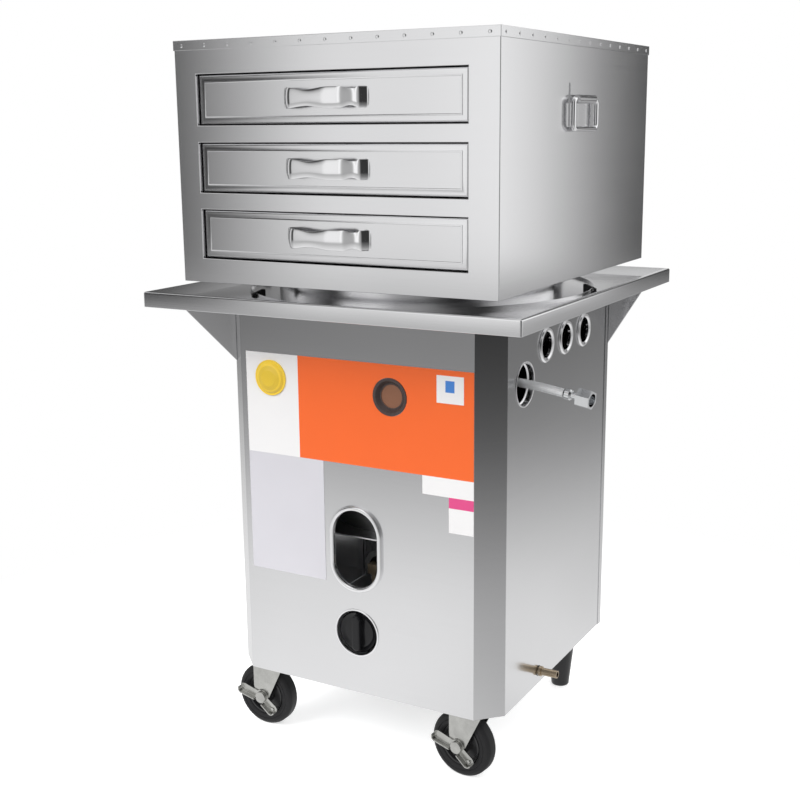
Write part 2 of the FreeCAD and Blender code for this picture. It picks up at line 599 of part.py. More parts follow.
def build_cabinet():
    """Folded front sheet with bevelled corners, two sides, a back with returns, base plate and posts."""
    slant, bend = "skin * (2 - sqrt(2))", "skin * (sqrt(2) - 1)"
    bevel_y = f"{FRONT_FACE} + cabinet_chamfer"
    bevel_x = f"{HALF_W} - cabinet_chamfer"
    lap_out, lap_in = f"{HALF_W} - skin", f"{HALF_W} - 2 * skin"
    lap_back = f"{bevel_y} + lap"
    right = [(bevel_x, FRONT_FACE), (HALF_W, bevel_y), (lap_out, bevel_y), (lap_out, lap_back),
             (lap_in, lap_back), (lap_in, f"{bevel_y} - {slant}"),
             (f"{bevel_x} - {bend}", f"{FRONT_FACE} + skin")]
    left = [(f"-({x})", y) for x, y in reversed(right)]
    sheet_body = plate("front_sheet", "XY_Plane", CABINET_BOTTOM, PANEL_UNDER, right + left)
    through = past(FRONT_FACE, f"{FRONT_FACE} + skin")
    window = stadium("window_cutter", "window_x", "window_z", "window_width", "window_height", *through)
    knob = rod("knob_cutter", "Y", ("knob_x", "knob_z"), "knob_hole_radius", *through)
    port = rod("port_cutter", "Y", ("port_x", "port_z"), "port_radius - 2", *through)
    piece("cabinet_front", cut("front_cut", sheet_body, window, knob, port))

    side_y = (bevel_y, f"{HALF_D} - skin")
    side_z = (CABINET_BOTTOM, PANEL_UNDER)
    piece("cabinet_side_left", box("side_left", (f"-{HALF_W}", f"-({HALF_W} - skin)"), side_y, side_z))
    wall = past(f"{HALF_W} - skin", HALF_W)
    holes = []
    for i in range(3):
        at = (f"vent_y + {i - 1} * vent_pitch", "vent_z")
        holes.append(rod(f"vent_cutter_{i}", "X", at, "vent_inner + 2.5", *wall))
    holes.append(rod("hose_cutter", "X", ("hose_hole_y", "hose_hole_z"), "hose_hole_radius", *wall))
    holes.append(rod("inlet_cutter", "X", ("inlet_y", INLET_Z), "inlet_radius + 2.5", *wall))
    blank = box("side_right", (f"{HALF_W} - skin", HALF_W), side_y, side_z)
    piece("cabinet_side_right", cut("side_right_cut", blank, *holes))

    outer, back = f"{HALF_W} + skin", HALF_D
    inside_y = f"{HALF_D} - skin"
    turn = f"{HALF_D} - back_return"
    u_shape = [(f"-({outer})", back), (f"-({outer})", turn), (f"-({HALF_W})", turn),
               (f"-({HALF_W})", inside_y), (HALF_W, inside_y), (HALF_W, turn), (outer, turn), (outer, back)]
    back_sheet = plate("back_sheet", "XY_Plane", CABINET_BOTTOM, PANEL_UNDER, u_shape)
    slots = []
    for i in range(6):
        low = f"{FLOOR_TOP} + slot_rise + {i} * slot_pitch"
        slots.append(box(f"back_slot_{i}", ("-slot_width / 2", "slot_width / 2"), past(inside_y, back),
                         (low, f"{low} + slot_height")))
    piece("cabinet_back", cut("back_cut", back_sheet, *slots))

    inside_w = f"{HALF_W} - 2 * skin"
    front_y = f"{FRONT_FACE} + skin"
    floor_loop = [(f"{bevel_x} - skin", front_y), (inside_w, bevel_y), (inside_w, inside_y),
                  (f"-({inside_w})", inside_y), (f"-({inside_w})", bevel_y),
                  (f"-({bevel_x} - skin)", front_y)]
    piece("base_plate", plate("floor_sheet", "XY_Plane", FLOOR_UNDER, FLOOR_TOP, floor_loop,
                              ("0", "0", "air_hole_radius")))

    posts = []
    for word, side in (("left", "-1"), ("right", "1")):
        corner_x = f"({side} * ({inside_w}))"
        leg_x = f"({side} * ({inside_w} - post_leg))"
        wall_x = f"({side} * ({inside_w} - post_wall))"
        for end, corner_y, sign in (("front", f"({bevel_y})", "1"), ("rear", f"({inside_y})", "-1")):
            leg_y = f"({corner_y} + {sign} * post_leg)"
            wall_y = f"({corner_y} + {sign} * post_wall)"
            posts.append(plate(f"post_{word}_{end}", "XY_Plane", FLOOR_TOP, PANEL_UNDER, [
                (corner_x, corner_y), (leg_x, corner_y), (leg_x, wall_y), (wall_x, wall_y), (wall_x, leg_y),
                (corner_x, leg_y)]))
    piece("frame_posts", group("posts", *posts))


def build_pan():
    """Round water pan, welded from a dish, a wall and its flange, and the clips that hold it."""
    bottom = "(-pan_depth)"
    corner_r, corner_z = f"{PAN_RADIUS} - pan_corner", f"{bottom} + pan_corner"
    inside = f"{PAN_RADIUS} - skin"
    dish = turned("pan_dish", [
        ("0", bottom), (corner_r, bottom, corner_r, corner_z), (PAN_RADIUS, corner_z),
        (inside, corner_z, corner_r, corner_z), (corner_r, f"{bottom} + skin"), ("0", f"{bottom} + skin")])
    wall = turned("pan_wall", rectangle((inside, PAN_RADIUS), (corner_z, "skin")))
    lip_top, lip_inside = "skin + pan_lip", "pan_flange_radius - skin"
    flange = turned("pan_flange", [
        (PAN_RADIUS, "0"), ("pan_flange_radius", "0"), ("pan_flange_radius", lip_top),
        (lip_inside, lip_top), (lip_inside, "skin"), (PAN_RADIUS, "skin")])
    for ring in (dish, wall, flange):
        place(ring, "0", "0", PANEL_TOP)
    floor = f"{PANEL_TOP} - pan_depth"
    drill = rod("pan_drill", "Z", (FEED_X, "hose_hole_y"), "feed_pipe_radius + running_gap",
                *past(floor, f"{floor} + skin"))
    piece("water_pan", group("pan_group", cut("pan_cut", dish, drill), wall, flange))

    clips = []
    slot_in, slot_top = "-skin - clip_slot", "skin + pan_lip + clip_slot"
    for index, angle in enumerate((15, 131, 195, 229)):
        clip = plate(f"clip_{index}", "XZ_Plane", "-clip_width / 2", "clip_width / 2", [
            ("-clip_length", "skin"), (slot_in, "skin"), (slot_in, slot_top), ("clip_slot", slot_top),
            ("clip_slot", "0"), ("clip_toe", "0"), ("clip_toe", "clip_toe_height"),
            ("clip_flat - clip_length", "clip_height"), ("-clip_length", "clip_height")])
        direction = math.radians(angle)
        spot = [f"pan_flange_radius * {part:.5f}" for part in (math.cos(direction), math.sin(direction))]
        clips.append(place(clip, *spot, PANEL_TOP, turn=(Vector(0, 0, 1), angle)))
    piece("pan_clips", group("clips", *clips))


def build_furnace():
    """Shelf, furnace shell with its lining, burner, and the bar that carries it."""
    inside_w = f"{HALF_W} - 2 * skin - post_wall"
    inside_back = f"{HALF_D} - skin - post_wall"
    inside_front = f"{FRONT_FACE} + cabinet_chamfer + post_wall"
    shelf = plate("shelf_sheet", "XY_Plane", SHELF_UNDER, "shelf_height",
                  rectangle((f"-({inside_w})", inside_w), (inside_front, inside_back)),
                  ("0", "0", "shelf_hole_radius"))
    piece("furnace_shelf", shelf)
    shell_inside = f"{FURNACE_RADIUS} - furnace_wall"
    ring = [("0", "0", FURNACE_RADIUS), ("0", "0", shell_inside)]
    piece("furnace_shell", plate("furnace_tube", "XY_Plane", "shelf_height", "shelf_height + furnace_height",
                                 *ring))
    piece("furnace_lining", plate("lining_tube", "XY_Plane", "shelf_height", "shelf_height + lining_height",
                                  ("0", "0", shell_inside), ("0", "0", f"{shell_inside} - lining_wall")))
    bar_end, bar_top = "shelf_hole_radius + bracket_end", "shelf_height + bracket_plate"
    bar = box("burner_bar", (f"-({bar_end})", bar_end), ("-bracket_width / 2", "bracket_width / 2"),
              ("shelf_height", bar_top))
    hole = rod("bar_hole", "Z", ("0", "0"), "mixer_radius - mixer_wall", *past("shelf_height", bar_top))
    piece("burner_bracket", cut("bar_cut", bar, hole))

    edge, groove = "burner_radius", "burner_height - burner_groove"
    head = turned("burner_body", [
        ("mixer_radius - mixer_wall", "0"), (f"{edge} - 8", "0"), (edge, "8"), (edge, "burner_height - 6"),
        (f"{edge} - 6", "burner_height"), (f"{edge} - burner_ring", "burner_height"),
        (f"{edge} - burner_ring - 4", groove), (f"{edge} - burner_hub + 4", groove),
        (f"{edge} - burner_hub", "burner_height"), ("mixer_radius - mixer_wall", "burner_height")])
    place(head, "0", "0", bar_top)
    piece("burner_head", head)


def build_gas():
    """Mixer tube below the burner, gas tap behind the knob, inlet pipe and the pipe between them."""
    inner = "mixer_radius - mixer_wall"
    at = ("0", "mixer_z")
    run = rod("mixer_run", "Y", at, "mixer_radius", "mixer_front", "mixer_radius + 3")
    rise = rod("mixer_rise", "Z", ("0", "0"), "mixer_radius - 1", "mixer_z", "shelf_height")
    bell = rod("mixer_bell", "Y", at, "mixer_radius + bell_flare", "mixer_front",
               "mixer_front + bell_length", far_radius="mixer_radius - 0.5")
    run_bore = rod("mixer_run_bore", "Y", at, inner, "mixer_front - spare", "mixer_radius - mixer_wall + 1")
    rise_bore = rod("mixer_rise_bore", "Z", ("0", "0"), f"{inner} - 1", "mixer_z", "shelf_height + spare")
    piece("mixer_tube", cut("mixer_cut", fuse("mixer_solid", run, rise, bell), run_bore, rise_bore))

    front, back = f"{FRONT_FACE} + tap_front", f"{FRONT_FACE} + tap_front + tap_length"
    side, top = "knob_x + tap_half", "knob_z + tap_half"
    at = ("knob_x", "knob_z")
    block = box("tap_block", ("knob_x - tap_half", side), (front, back), ("knob_z - tap_half", top))
    nose = rod("tap_nose", "Y", at, "tap_nose_radius", f"{front} - tap_nose", front)
    bore = rod("tap_bore", "Y", at, "stem_radius + running_gap", f"{front} - tap_nose - spare",
               f"{FRONT_FACE} + stem_reach + spare")
    tap = cut("tap_cut", fuse("tap_solid", block, nose), bore)
    rise_y = f"{front} + tap_length / 2"
    jet_z = "mixer_z - tap_elbow"
    riser = rod("tap_riser", "Z", ("knob_x", rise_y), "tap_riser", top, jet_z)
    jet = rod("tap_jet", "Y", ("knob_x", "mixer_z"), "6", f"{rise_y} - tap_elbow", "mixer_front + 9")
    elbow = box("tap_elbow", ("knob_x - tap_elbow", "knob_x + tap_elbow"),
                (f"{rise_y} - tap_elbow", f"{rise_y} + tap_elbow"), (jet_z, "mixer_z + tap_elbow"))
    piece("gas_valve", group("tap_group", tap, riser, fuse("tap_jet_solid", jet, elbow)))
    upright = box("tap_upright", (side, f"{side} + tap_bracket"), (front, back), (FLOOR_TOP, "knob_z + 12"))
    toe = box("tap_toe", (side, f"{side} + tap_toe"), (front, back),
              (FLOOR_TOP, f"{FLOOR_TOP} + tap_bracket"))
    piece("tap_bracket", fuse("tap_bracket_solid", upright, toe))

    outside = f"{HALF_W} + inlet_proud"
    at = ("inlet_y", INLET_Z)
    run = rod("inlet_run", "X", at, "inlet_radius", "knob_x", outside)
    bore = rod("inlet_run_bore", "X", at, "inlet_bore", "knob_x + 20", f"{outside} + spare")
    cross = rod("inlet_cross", "Y", ("knob_x", INLET_Z), "inlet_radius", rise_y, "inlet_y")
    up = rod("inlet_up", "Z", ("knob_x", rise_y), "inlet_radius", INLET_Z, "knob_z - tap_half")
    elbows = []
    for name, y in (("inlet_elbow_rear", "inlet_y"), ("inlet_elbow_front", rise_y)):
        ball = add("Part::Sphere", name)
        bind(ball, Radius="inlet_radius")
        elbows.append(place(ball, "knob_x", y, INLET_Z))
    stop = rod("inlet_stop", "X", at, "inlet_radius + 2", f"{HALF_W} + 2", f"{HALF_W} + 6")
    piece("gas_inlet_pipe", cut("inlet_cut", fuse("inlet_solid", run, cross, up, stop, *elbows), bore))


def build_front_trim():
    """Window ring, knob hole ring, port, yellow disc and the bare adhesive panels of the front."""
    ring_half = "window_width / 2 + window_ring"
    straight = "(window_height - window_width) / 2"
    body = plate("window_ring_body", "XZ_Plane", f"{FRONT_FACE} - window_proud", FRONT_FACE,
                 stadium_loop("window_x", "window_z", ring_half, straight),
                 stadium_loop("window_x", "window_z", "window_width / 2", straight))
    doc.recompute()
    face_y = num(f"{FRONT_FACE} - window_proud")
    names = edges_where(body.Tip.Shape, lambda middle, edge: middle.y < face_y + 0.01)
    dress(body, "Fillet", body.Tip, names, "window_ring * 0.42")
    ring = plate("knob_ring_body", "XZ_Plane", f"{FRONT_FACE} - 1.5", FRONT_FACE,
                 ("knob_x", "knob_z", "knob_hole_radius + knob_ring"),
                 ("knob_x", "knob_z", "knob_hole_radius"))
    piece("front_rings", group("ring_group", body, ring))

    cup_radius = "port_radius - 2"
    cup = turned("port_body", [
        ("0", "-port_depth"), (cup_radius, "-port_depth"), (cup_radius, "0"), ("port_radius", "0"),
        ("port_radius", "1.5"), ("port_radius - 4", "1.5"), ("port_lens_radius + 2", "-5"),
        ("port_lens_radius", "-5"), ("port_lens_radius", "-port_seat"), ("0", "-port_seat")])
    place(cup, "port_x", FRONT_FACE, "port_z", turn=(Vector(1, 0, 0), 90))
    at_port = ("port_x", "port_z")
    lens = rod("port_lens", "Y", at_port, "port_lens_radius", f"{FRONT_FACE} + 6",
               f"{FRONT_FACE} + port_seat")
    piece("view_port", group("port_group", cup, lens))

    dome = turned("disc_body", [
        ("0", "film"), ("disc_radius", "film"), ("disc_radius", "film + 2"),
        ("disc_radius - 3", "film + 2"), ("disc_radius - 6", "film + 5"),
        ("disc_radius * 0.45", "film + disc_dome"), ("0", "film + disc_dome")])
    place(dome, DISC_X, FRONT_FACE, "disc_z", turn=(Vector(1, 0, 0), 90))
    piece("yellow_disc", dome)

    sheet_y = (f"{FRONT_FACE} - film", FRONT_FACE)
    port_hole = rod("panel_port_hole", "Y", at_port, "port_radius + 0.5", *past(*sheet_y))
    orange = box("orange_blank", (BAND_SPLIT, BAND_RIGHT), sheet_y, ("band_bottom", "band_top"))
    piece("orange_panel", cut("orange_cut", orange, port_hole))
    piece("white_panel", box("white_sheet", (BAND_LEFT, BAND_SPLIT), sheet_y, ("band_bottom", "band_top")))
    card_right = "window_x - window_width / 2 - window_ring - card_gap"
    piece("bare_card", box("card_sheet", (BAND_LEFT, card_right), sheet_y, ("card_bottom", "band_bottom")))
    above = (f"{FRONT_FACE} - 2 * film", f"{FRONT_FACE} - film")
    strip_z, square_x = "band_bottom - tag_height", f"{BAND_RIGHT} - square_in"
    tags = [box("tag_strip", (f"{BAND_RIGHT} - tag_width", BAND_RIGHT), sheet_y, (strip_z, "band_bottom")),
            box("tag_head", (f"{BAND_RIGHT} - head_width", BAND_RIGHT), sheet_y,
                (f"{strip_z} - head_height", strip_z)),
            box("tag_square", (f"{square_x} - square_side", square_x), above,
                ("band_top - square_down - square_height", "band_top - square_down"))]
    piece("small_tags", group("tags", *tags))


def build_side_trim():
    """Chrome rings of the three vents."""
    rings = []
    for index in range(3):
        ring = turned(f"vent_ring_{index}", [
            ("vent_inner", "-vent_tail"), ("vent_inner + 2", "-vent_tail"), ("vent_inner + 2", "0"),
            ("vent_outer", "0"), ("vent_outer", "vent_proud - 2"), ("vent_outer - 2", "vent_proud"),
            ("vent_inner + 2.5", "vent_proud"), ("vent_inner", "vent_proud - 2")])
        rings.append(place(ring, HALF_W, f"vent_y + {index - 1} * vent_pitch", "vent_z",
                           turn=(Vector(0, 1, 0), 90)))
    piece("vent_rings", group("vent_group", *rings))


def build_water_feed():
    """Brass feed valve below the pan, with a pipe up through the pan's bottom."""
    y, floor = "hose_hole_y", f"{PANEL_TOP} - pan_depth"
    mouth, neck = f"{HOSE_ROUTE[0][0]}", f"{FEED_X} + 20"
    body = rod("feed_body", "X", (y, "feed_z"), "feed_body_radius", f"{FEED_X} - 14", neck)
    tail = rod("feed_tail", "X", (y, "feed_z"), "feed_tail_radius", neck, mouth)
    pipe = rod("feed_pipe", "Z", (FEED_X, y), "feed_pipe_radius", "feed_z + 8", f"{floor} + feed_stand")
    nut = rod("feed_nut", "Z", (FEED_X, y), "feed_nut_radius", "feed_z + 6", floor)
    bore = rod("feed_bore", "Z", (FEED_X, y), "feed_bore", "feed_z", f"{floor} + feed_stand + spare")
    piece("water_feed_valve", cut("feed_cut", fuse("feed_solid", body, tail, pipe, nut), bore))


# Points of the water hose, from the feed valve out through the hole in the side
HOSE_ROUTE = [(152, -124, 608), (184, -124, 608), (222, -126.2, 607.2), (262, -130, 604.2),
              (301, -134.8, 599.4)]


def rounded_path(points):
    """Straight runs joined by tangent arcs as large as their runs allow, and the radii of the arcs."""
    points = [Vector(*point) for point in points]
    edges, radii, start = [], [], points[0]
    for before, corner, after in zip(points, points[1:], points[2:]):
        back, ahead = before - corner, after - corner
        shorter = min(back.Length, ahead.Length)
        turn = math.pi - back.getAngle(ahead)
        tangent = 0.45 * shorter
        radii.append(tangent / math.tan(turn / 2))
        back.normalize()
        ahead.normalize()
        bisector = back + ahead
        bisector.normalize()
        reach = radii[-1] / math.cos(turn / 2) - radii[-1]
        into, out = corner + back * tangent, corner + ahead * tangent
        edges.append(Part.LineSegment(start, into).toShape())
        edges.append(Part.Arc(into, corner + bisector * reach, out).toShape())
        start = out
    edges.append(Part.LineSegment(start, points[-1]).toShape())
    return Part.Wire(edges), radii


def build_hose():
    """Braided water hose, and the ferrule, nipple and hexagon nut on its free end."""
    path, radii = rounded_path(HOSE_ROUTE)
    radius = num("hose_radius")
    first = Vector(*HOSE_ROUTE[1]) - Vector(*HOSE_ROUTE[0])
    ring = Part.Wire([Part.Circle(Vector(*HOSE_ROUTE[0]), first, radius).toShape()])
    tube = path.makePipeShell([ring], True, False)
    expected = math.pi * radius ** 2 * path.Length
    print(f"hose length {path.Length:.1f}, radii {[round(r) for r in radii]}, "
          f"volume ratio {tube.Volume / expected:.4f}")
    hose = add("Part::Feature", "hose_tube")
    hose.Shape = tube
    piece("water_hose", hose)

    end = Vector(*HOSE_ROUTE[-1])
    along = end - Vector(*HOSE_ROUTE[-2])
    turn = Rotation(Vector(0, 0, 1), along)
    ferrule = turned("ferrule", [
        ("0", "0"), ("hose_radius + 1", "0"), ("hose_radius + 1.5", "2"),
        ("hose_radius + 1.5", "ferrule_length - 2"), ("hose_radius", "ferrule_length"),
        ("0", "ferrule_length")])
    nut_start = "ferrule_length + nipple_length"
    nipple = turned("nipple", rectangle(("0", "nipple_radius"), ("ferrule_length", nut_start)))
    corner = "coupling_af / sqrt(3)"
    hexagon = []
    for side in range(6):
        turned_by = math.radians(60 * side)
        hexagon.append((f"{corner} * {math.cos(turned_by):.6f}", f"{corner} * {math.sin(turned_by):.6f}"))
    nut_end = f"{nut_start} + nut_length"
    nut = plate("hex_nut", "XY_Plane", nut_start, nut_end, hexagon)
    bore = rod("nut_bore", "Z", ("0", "0"), "thread_radius", f"{nut_start} + nut_floor",
               f"{nut_end} + spare")
    coupling = group("coupling", ferrule, nipple, cut("nut_cut", nut, bore))
    coupling.Placement = Placement(end, turn)
    piece("hose_coupling", coupling)


def build_knob():
    """Round gas knob with a grip across it, and the tap's stem behind."""
    back = f"{FRONT_FACE} + 3"
    dish = turned("knob_body", [
        ("0", "-knob_height"), ("knob_radius - 3", "-knob_height"), ("knob_radius", "-knob_height + 3"),
        ("knob_radius", "-2"), ("knob_radius - 2", "0"), ("knob_radius - 8", "-2.5"), ("0", "-1")])
    root = "-knob_height / 2"
    grip_loop = stadium_flat("7", "knob_radius - 11")
    grip_outline = outline(dish, "grip_outline", "XY_Plane", grip_loop, offset=root)
    grip = pad(dish, grip_outline, "knob_height / 2 + knob_grip")
    doc.recompute()
    top = num("knob_grip")
    names = edges_where(grip.Shape, lambda middle, edge: middle.z > top - 0.01)
    dress(dish, "Fillet", grip, names, "3")
    place(dish, "knob_x", back, "knob_z", turn=(Vector(1, 0, 0), 90))
    stem = rod("tap_stem", "Y", ("knob_x", "knob_z"), "stem_radius", f"{back} + knob_height",
               f"{FRONT_FACE} + stem_reach")
    piece("gas_knob", group("knob_group", dish, stem))


def stadium_flat(half, straight):
    """Stadium outline about the sketch origin, long way along the sketch's second axis."""
    return [(half, straight, "0", straight), (f"-{half}", straight),
            (f"-{half}", f"-({straight})", "0", f"-({straight})"), (half, f"-({straight})")]


# ---------------------------------------------------------------- running gear

def build_casters():
    """Two swivel casters with side brakes, and the screws of their top plates."""
    fixed, screws = [], []
    for word, sign, heading in (("left", -1, 180), ("right", 1, 173)):
        centre = (f"{sign} * ({HALF_W} - caster_inset_x)", f"({FRONT_FACE} + caster_inset_y)")
        fixed.append(build_caster_top(word, centre))
        offset = "(top_plate / 2 - screw_edge)"
        for i, (dx, dy) in enumerate(((-1, -1), (1, -1), (1, 1), (-1, 1))):
            screw_at = (f"{centre[0]} + {dx} * {offset}", f"{centre[1]} + {dy} * {offset}")
            screws.append(rod(f"caster_screw_{word}_{i}", "Z", screw_at, "screw_head",
                              f"{PLATE_UNDER} - screw_height", PLATE_UNDER))
        build_fork(word, centre, heading)
        angle = math.radians(heading)
        axle = (f"{centre[0]} + caster_trail * {math.cos(angle):.6f}",
                f"{centre[1]} + caster_trail * {math.sin(angle):.6f}")
        build_wheel(word, axle, heading)
        build_brake(word, axle, heading + 180)
    piece("caster_plates", group("caster_fixed", *fixed))
    piece("caster_screws", group("caster_screw_group", *screws))


def build_caster_top(word, centre):
    """Top plate of a caster with its swivel race."""
    half = "top_plate / 2"
    top = box(f"caster_top_{word}", (f"{centre[0]} - {half}", f"{centre[0]} + {half}"),
              (f"{centre[1]} - {half}", f"{centre[1]} + {half}"), (PLATE_UNDER, FLOOR_UNDER))
    race = rod(f"caster_race_{word}", "Z", centre, "race_radius", f"{CROWN_TOP} + race_gap", PLATE_UNDER)
    bore = rod(f"caster_race_bore_{word}", "Z", centre, "kingpin_radius + running_gap",
               f"{CROWN_TOP} - spare", PLATE_UNDER)
    return cut(f"caster_fixed_{word}", fuse(f"caster_fixed_solid_{word}", top, race), bore)


def build_fork(word, centre, heading):
    """Fork with its swivel pin and axle bolt. The bolt stands out at local +Y, on the brake's side."""
    boss_x, boss_z = "fork_boss * 0.94", "wheel_radius - fork_boss * 0.34"
    leg_loop = [(f"caster_trail + {boss_x}", boss_z), ("fork_reach", "wheel_radius + fork_shoulder"),
                ("fork_reach", CROWN_TOP), ("-fork_heel", CROWN_TOP),
                (f"caster_trail - {boss_x}", boss_z, "caster_trail", "wheel_radius")]
    spans = ((FORK_INNER, FORK_OUTER), (f"-{FORK_OUTER}", f"-{FORK_INNER}"))
    legs = [plate(f"fork_leg_{word}_{i}", "XZ_Plane", *span, leg_loop) for i, span in enumerate(spans)]
    crown = box(f"fork_crown_{word}", ("-fork_heel", "fork_reach"), (f"-{FORK_INNER}", FORK_INNER),
                (CROWN_UNDER, CROWN_TOP))
    pin = rod(f"kingpin_{word}", "Z", ("0", "0"), "kingpin_radius", f"{CROWN_UNDER} + 1",
              f"{PLATE_UNDER} - 1")
    at_axle = ("caster_trail", "wheel_radius")
    bore = rod(f"fork_bore_{word}", "Y", at_axle, "axle_radius", *past(f"-{FORK_OUTER}", FORK_OUTER))
    fork = cut(f"fork_cut_{word}", fuse(f"fork_solid_{word}", *legs, crown, pin), bore)
    low, high = FORK_OUTER, f"({FORK_OUTER} + brake_sheet + 2 * brake_gap)"
    bolt = fuse(f"axle_{word}", rod(f"axle_shank_{word}", "Y", at_axle, "axle_radius", f"-{low}", high),
                rod(f"axle_head_{word}", "Y", at_axle, "axle_head", f"-{low} - axle_head_height",
                    f"-{low}"),
                rod(f"axle_nut_{word}", "Y", at_axle, "axle_head", high, f"{high} + axle_head_height"))
    both = place(group(f"fork_{word}", fork, bolt), *centre, "0", turn=(Vector(0, 0, 1), heading))
    piece(f"caster_fork_{word}", both)


def build_wheel(word, axle, heading):
    """Tyre and hub, revolved about the axle."""
    half = "wheel_width / 2"
    bore, rim = "axle_radius + running_gap", f"{half} - 3"
    shoulder, crown = "wheel_radius - 5", "wheel_radius - 1.5"
    tyre = turned(f"tyre_{word}", [
        ("hub_radius", f"-({rim})"), (shoulder, f"-({half} - 1)"), (crown, f"-({half} - 4)"),
        ("wheel_radius", f"-{half} / 2"), ("wheel_radius", f"{half} / 2"), (crown, f"{half} - 4"),
        (shoulder, f"{half} - 1"), ("hub_radius", rim)])
    web, boss, foot = f"{half} / 2", "axle_radius + 7", "axle_radius + 9"
    bead, well = "hub_radius - 3", "hub_radius - 5"
    hub = turned(f"hub_{word}", [
        (bore, f"-{half}"), (boss, f"-{half}"), (foot, f"-{web}"), (well, f"-{web}"),
        (bead, f"-({rim})"), ("hub_radius", f"-({rim})"), ("hub_radius", rim), (bead, rim), (well, web),
        (foot, web), (boss, half), (bore, half)])
    turn = Rotation(Vector(0, 0, 1), heading) * Rotation(Vector(1, 0, 0), -90)
    for node, shape in ((f"caster_tyre_{word}", tyre), (f"caster_hub_{word}", hub)):
        piece(node, place(shape, *axle, "wheel_radius", turn=(turn.Axis, math.degrees(turn.Angle))))


# Degrees that the brake lever leans from upright
BRAKE_TILT = 65


def build_brake(word, axle, facing):
    """Brake lever: a bent strap with a raised lip along its lower edge, on the axle by the fork leg."""
    def bow(inset):
        """Outline of the strap, moved inwards."""
        half = f"(brake_width / 2 - {inset})"
        top, bottom = "(brake_top - brake_width / 2)", "(brake_width / 2 - brake_bottom)"
        left, right = f"-brake_bend - {half}", f"-brake_bend + {half}"
        return [(right, top, "-brake_bend", top), (left, top), (f"-{half} + 1", "0"),
                (left, bottom, "-brake_bend", bottom), (right, bottom), (f"{half} - 1", "0")]

    strap = plate(f"brake_strap_{word}", "XZ_Plane", "-brake_sheet", "0", bow("0"))
    disc = rod(f"brake_disc_{word}", "Y", ("0", "0"), "fork_boss", "-brake_sheet", "0")
    lip = plate(f"brake_lip_{word}", "XZ_Plane", "-brake_lip", "0", bow("0"), bow("brake_sheet"))
    open_y = ("-brake_lip - spare", "-brake_sheet")
    far_side = box(f"brake_open_{word}", ("-brake_bend", "brake_width"), open_y,
                   past("-brake_top", "brake_top"))
    rivet = rod(f"brake_rivet_{word}", "Y", ("-brake_bend", "brake_width / 2 - brake_bottom"),
                "brake_rivet", "-brake_sheet - brake_rivet_height", "-brake_sheet")
    hole = rod(f"brake_hole_{word}", "Y", ("0", "0"), "axle_radius + running_gap", *past("-brake_lip", "0"))
    seat = rod(f"brake_seat_{word}", "Y", ("0", "0"), "brake_seat", *open_y)
    half_lip = cut(f"brake_half_lip_{word}", lip, far_side, seat)
    brake = cut(f"brake_cut_{word}", fuse(f"brake_solid_{word}", strap, disc, half_lip, rivet), hole)
    out = f"({FORK_OUTER} + brake_gap)"
    angle = math.radians(facing)
    spot = (f"{axle[0]} + {math.sin(angle):.6f} * {out}", f"{axle[1]} - {math.cos(angle):.6f} * {out}")
    turn = Rotation(Vector(0, 0, 1), facing) * Rotation(Vector(0, 1, 0), -BRAKE_TILT)
    placed = place(brake, *spot, "wheel_radius", turn=(turn.Axis, math.degrees(turn.Angle)))
    piece(f"caster_brake_{word}", placed)


def build_feet():
    """Black tapered rear feet under the base plate."""
    feet = []
    for word, sign in (("left", -1), ("right", 1)):
        spot = (f"{sign} * ({HALF_W} - foot_inset_x)", f"{HALF_D} - foot_inset_y")
        feet.append(rod(f"foot_{word}", "Z", spot, "foot_bottom_radius", "0", FLOOR_UNDER,
                        far_radius="foot_top_radius"))
    piece("rear_feet", group("feet", *feet))


# ---------------------------------------------------------------- steam box

def drawer_middle(index):
    """Height of a drawer's middle, counted from the lowest."""
    return f"({BOX_FLOOR} + drawer_rise + {index} * drawer_pitch)"


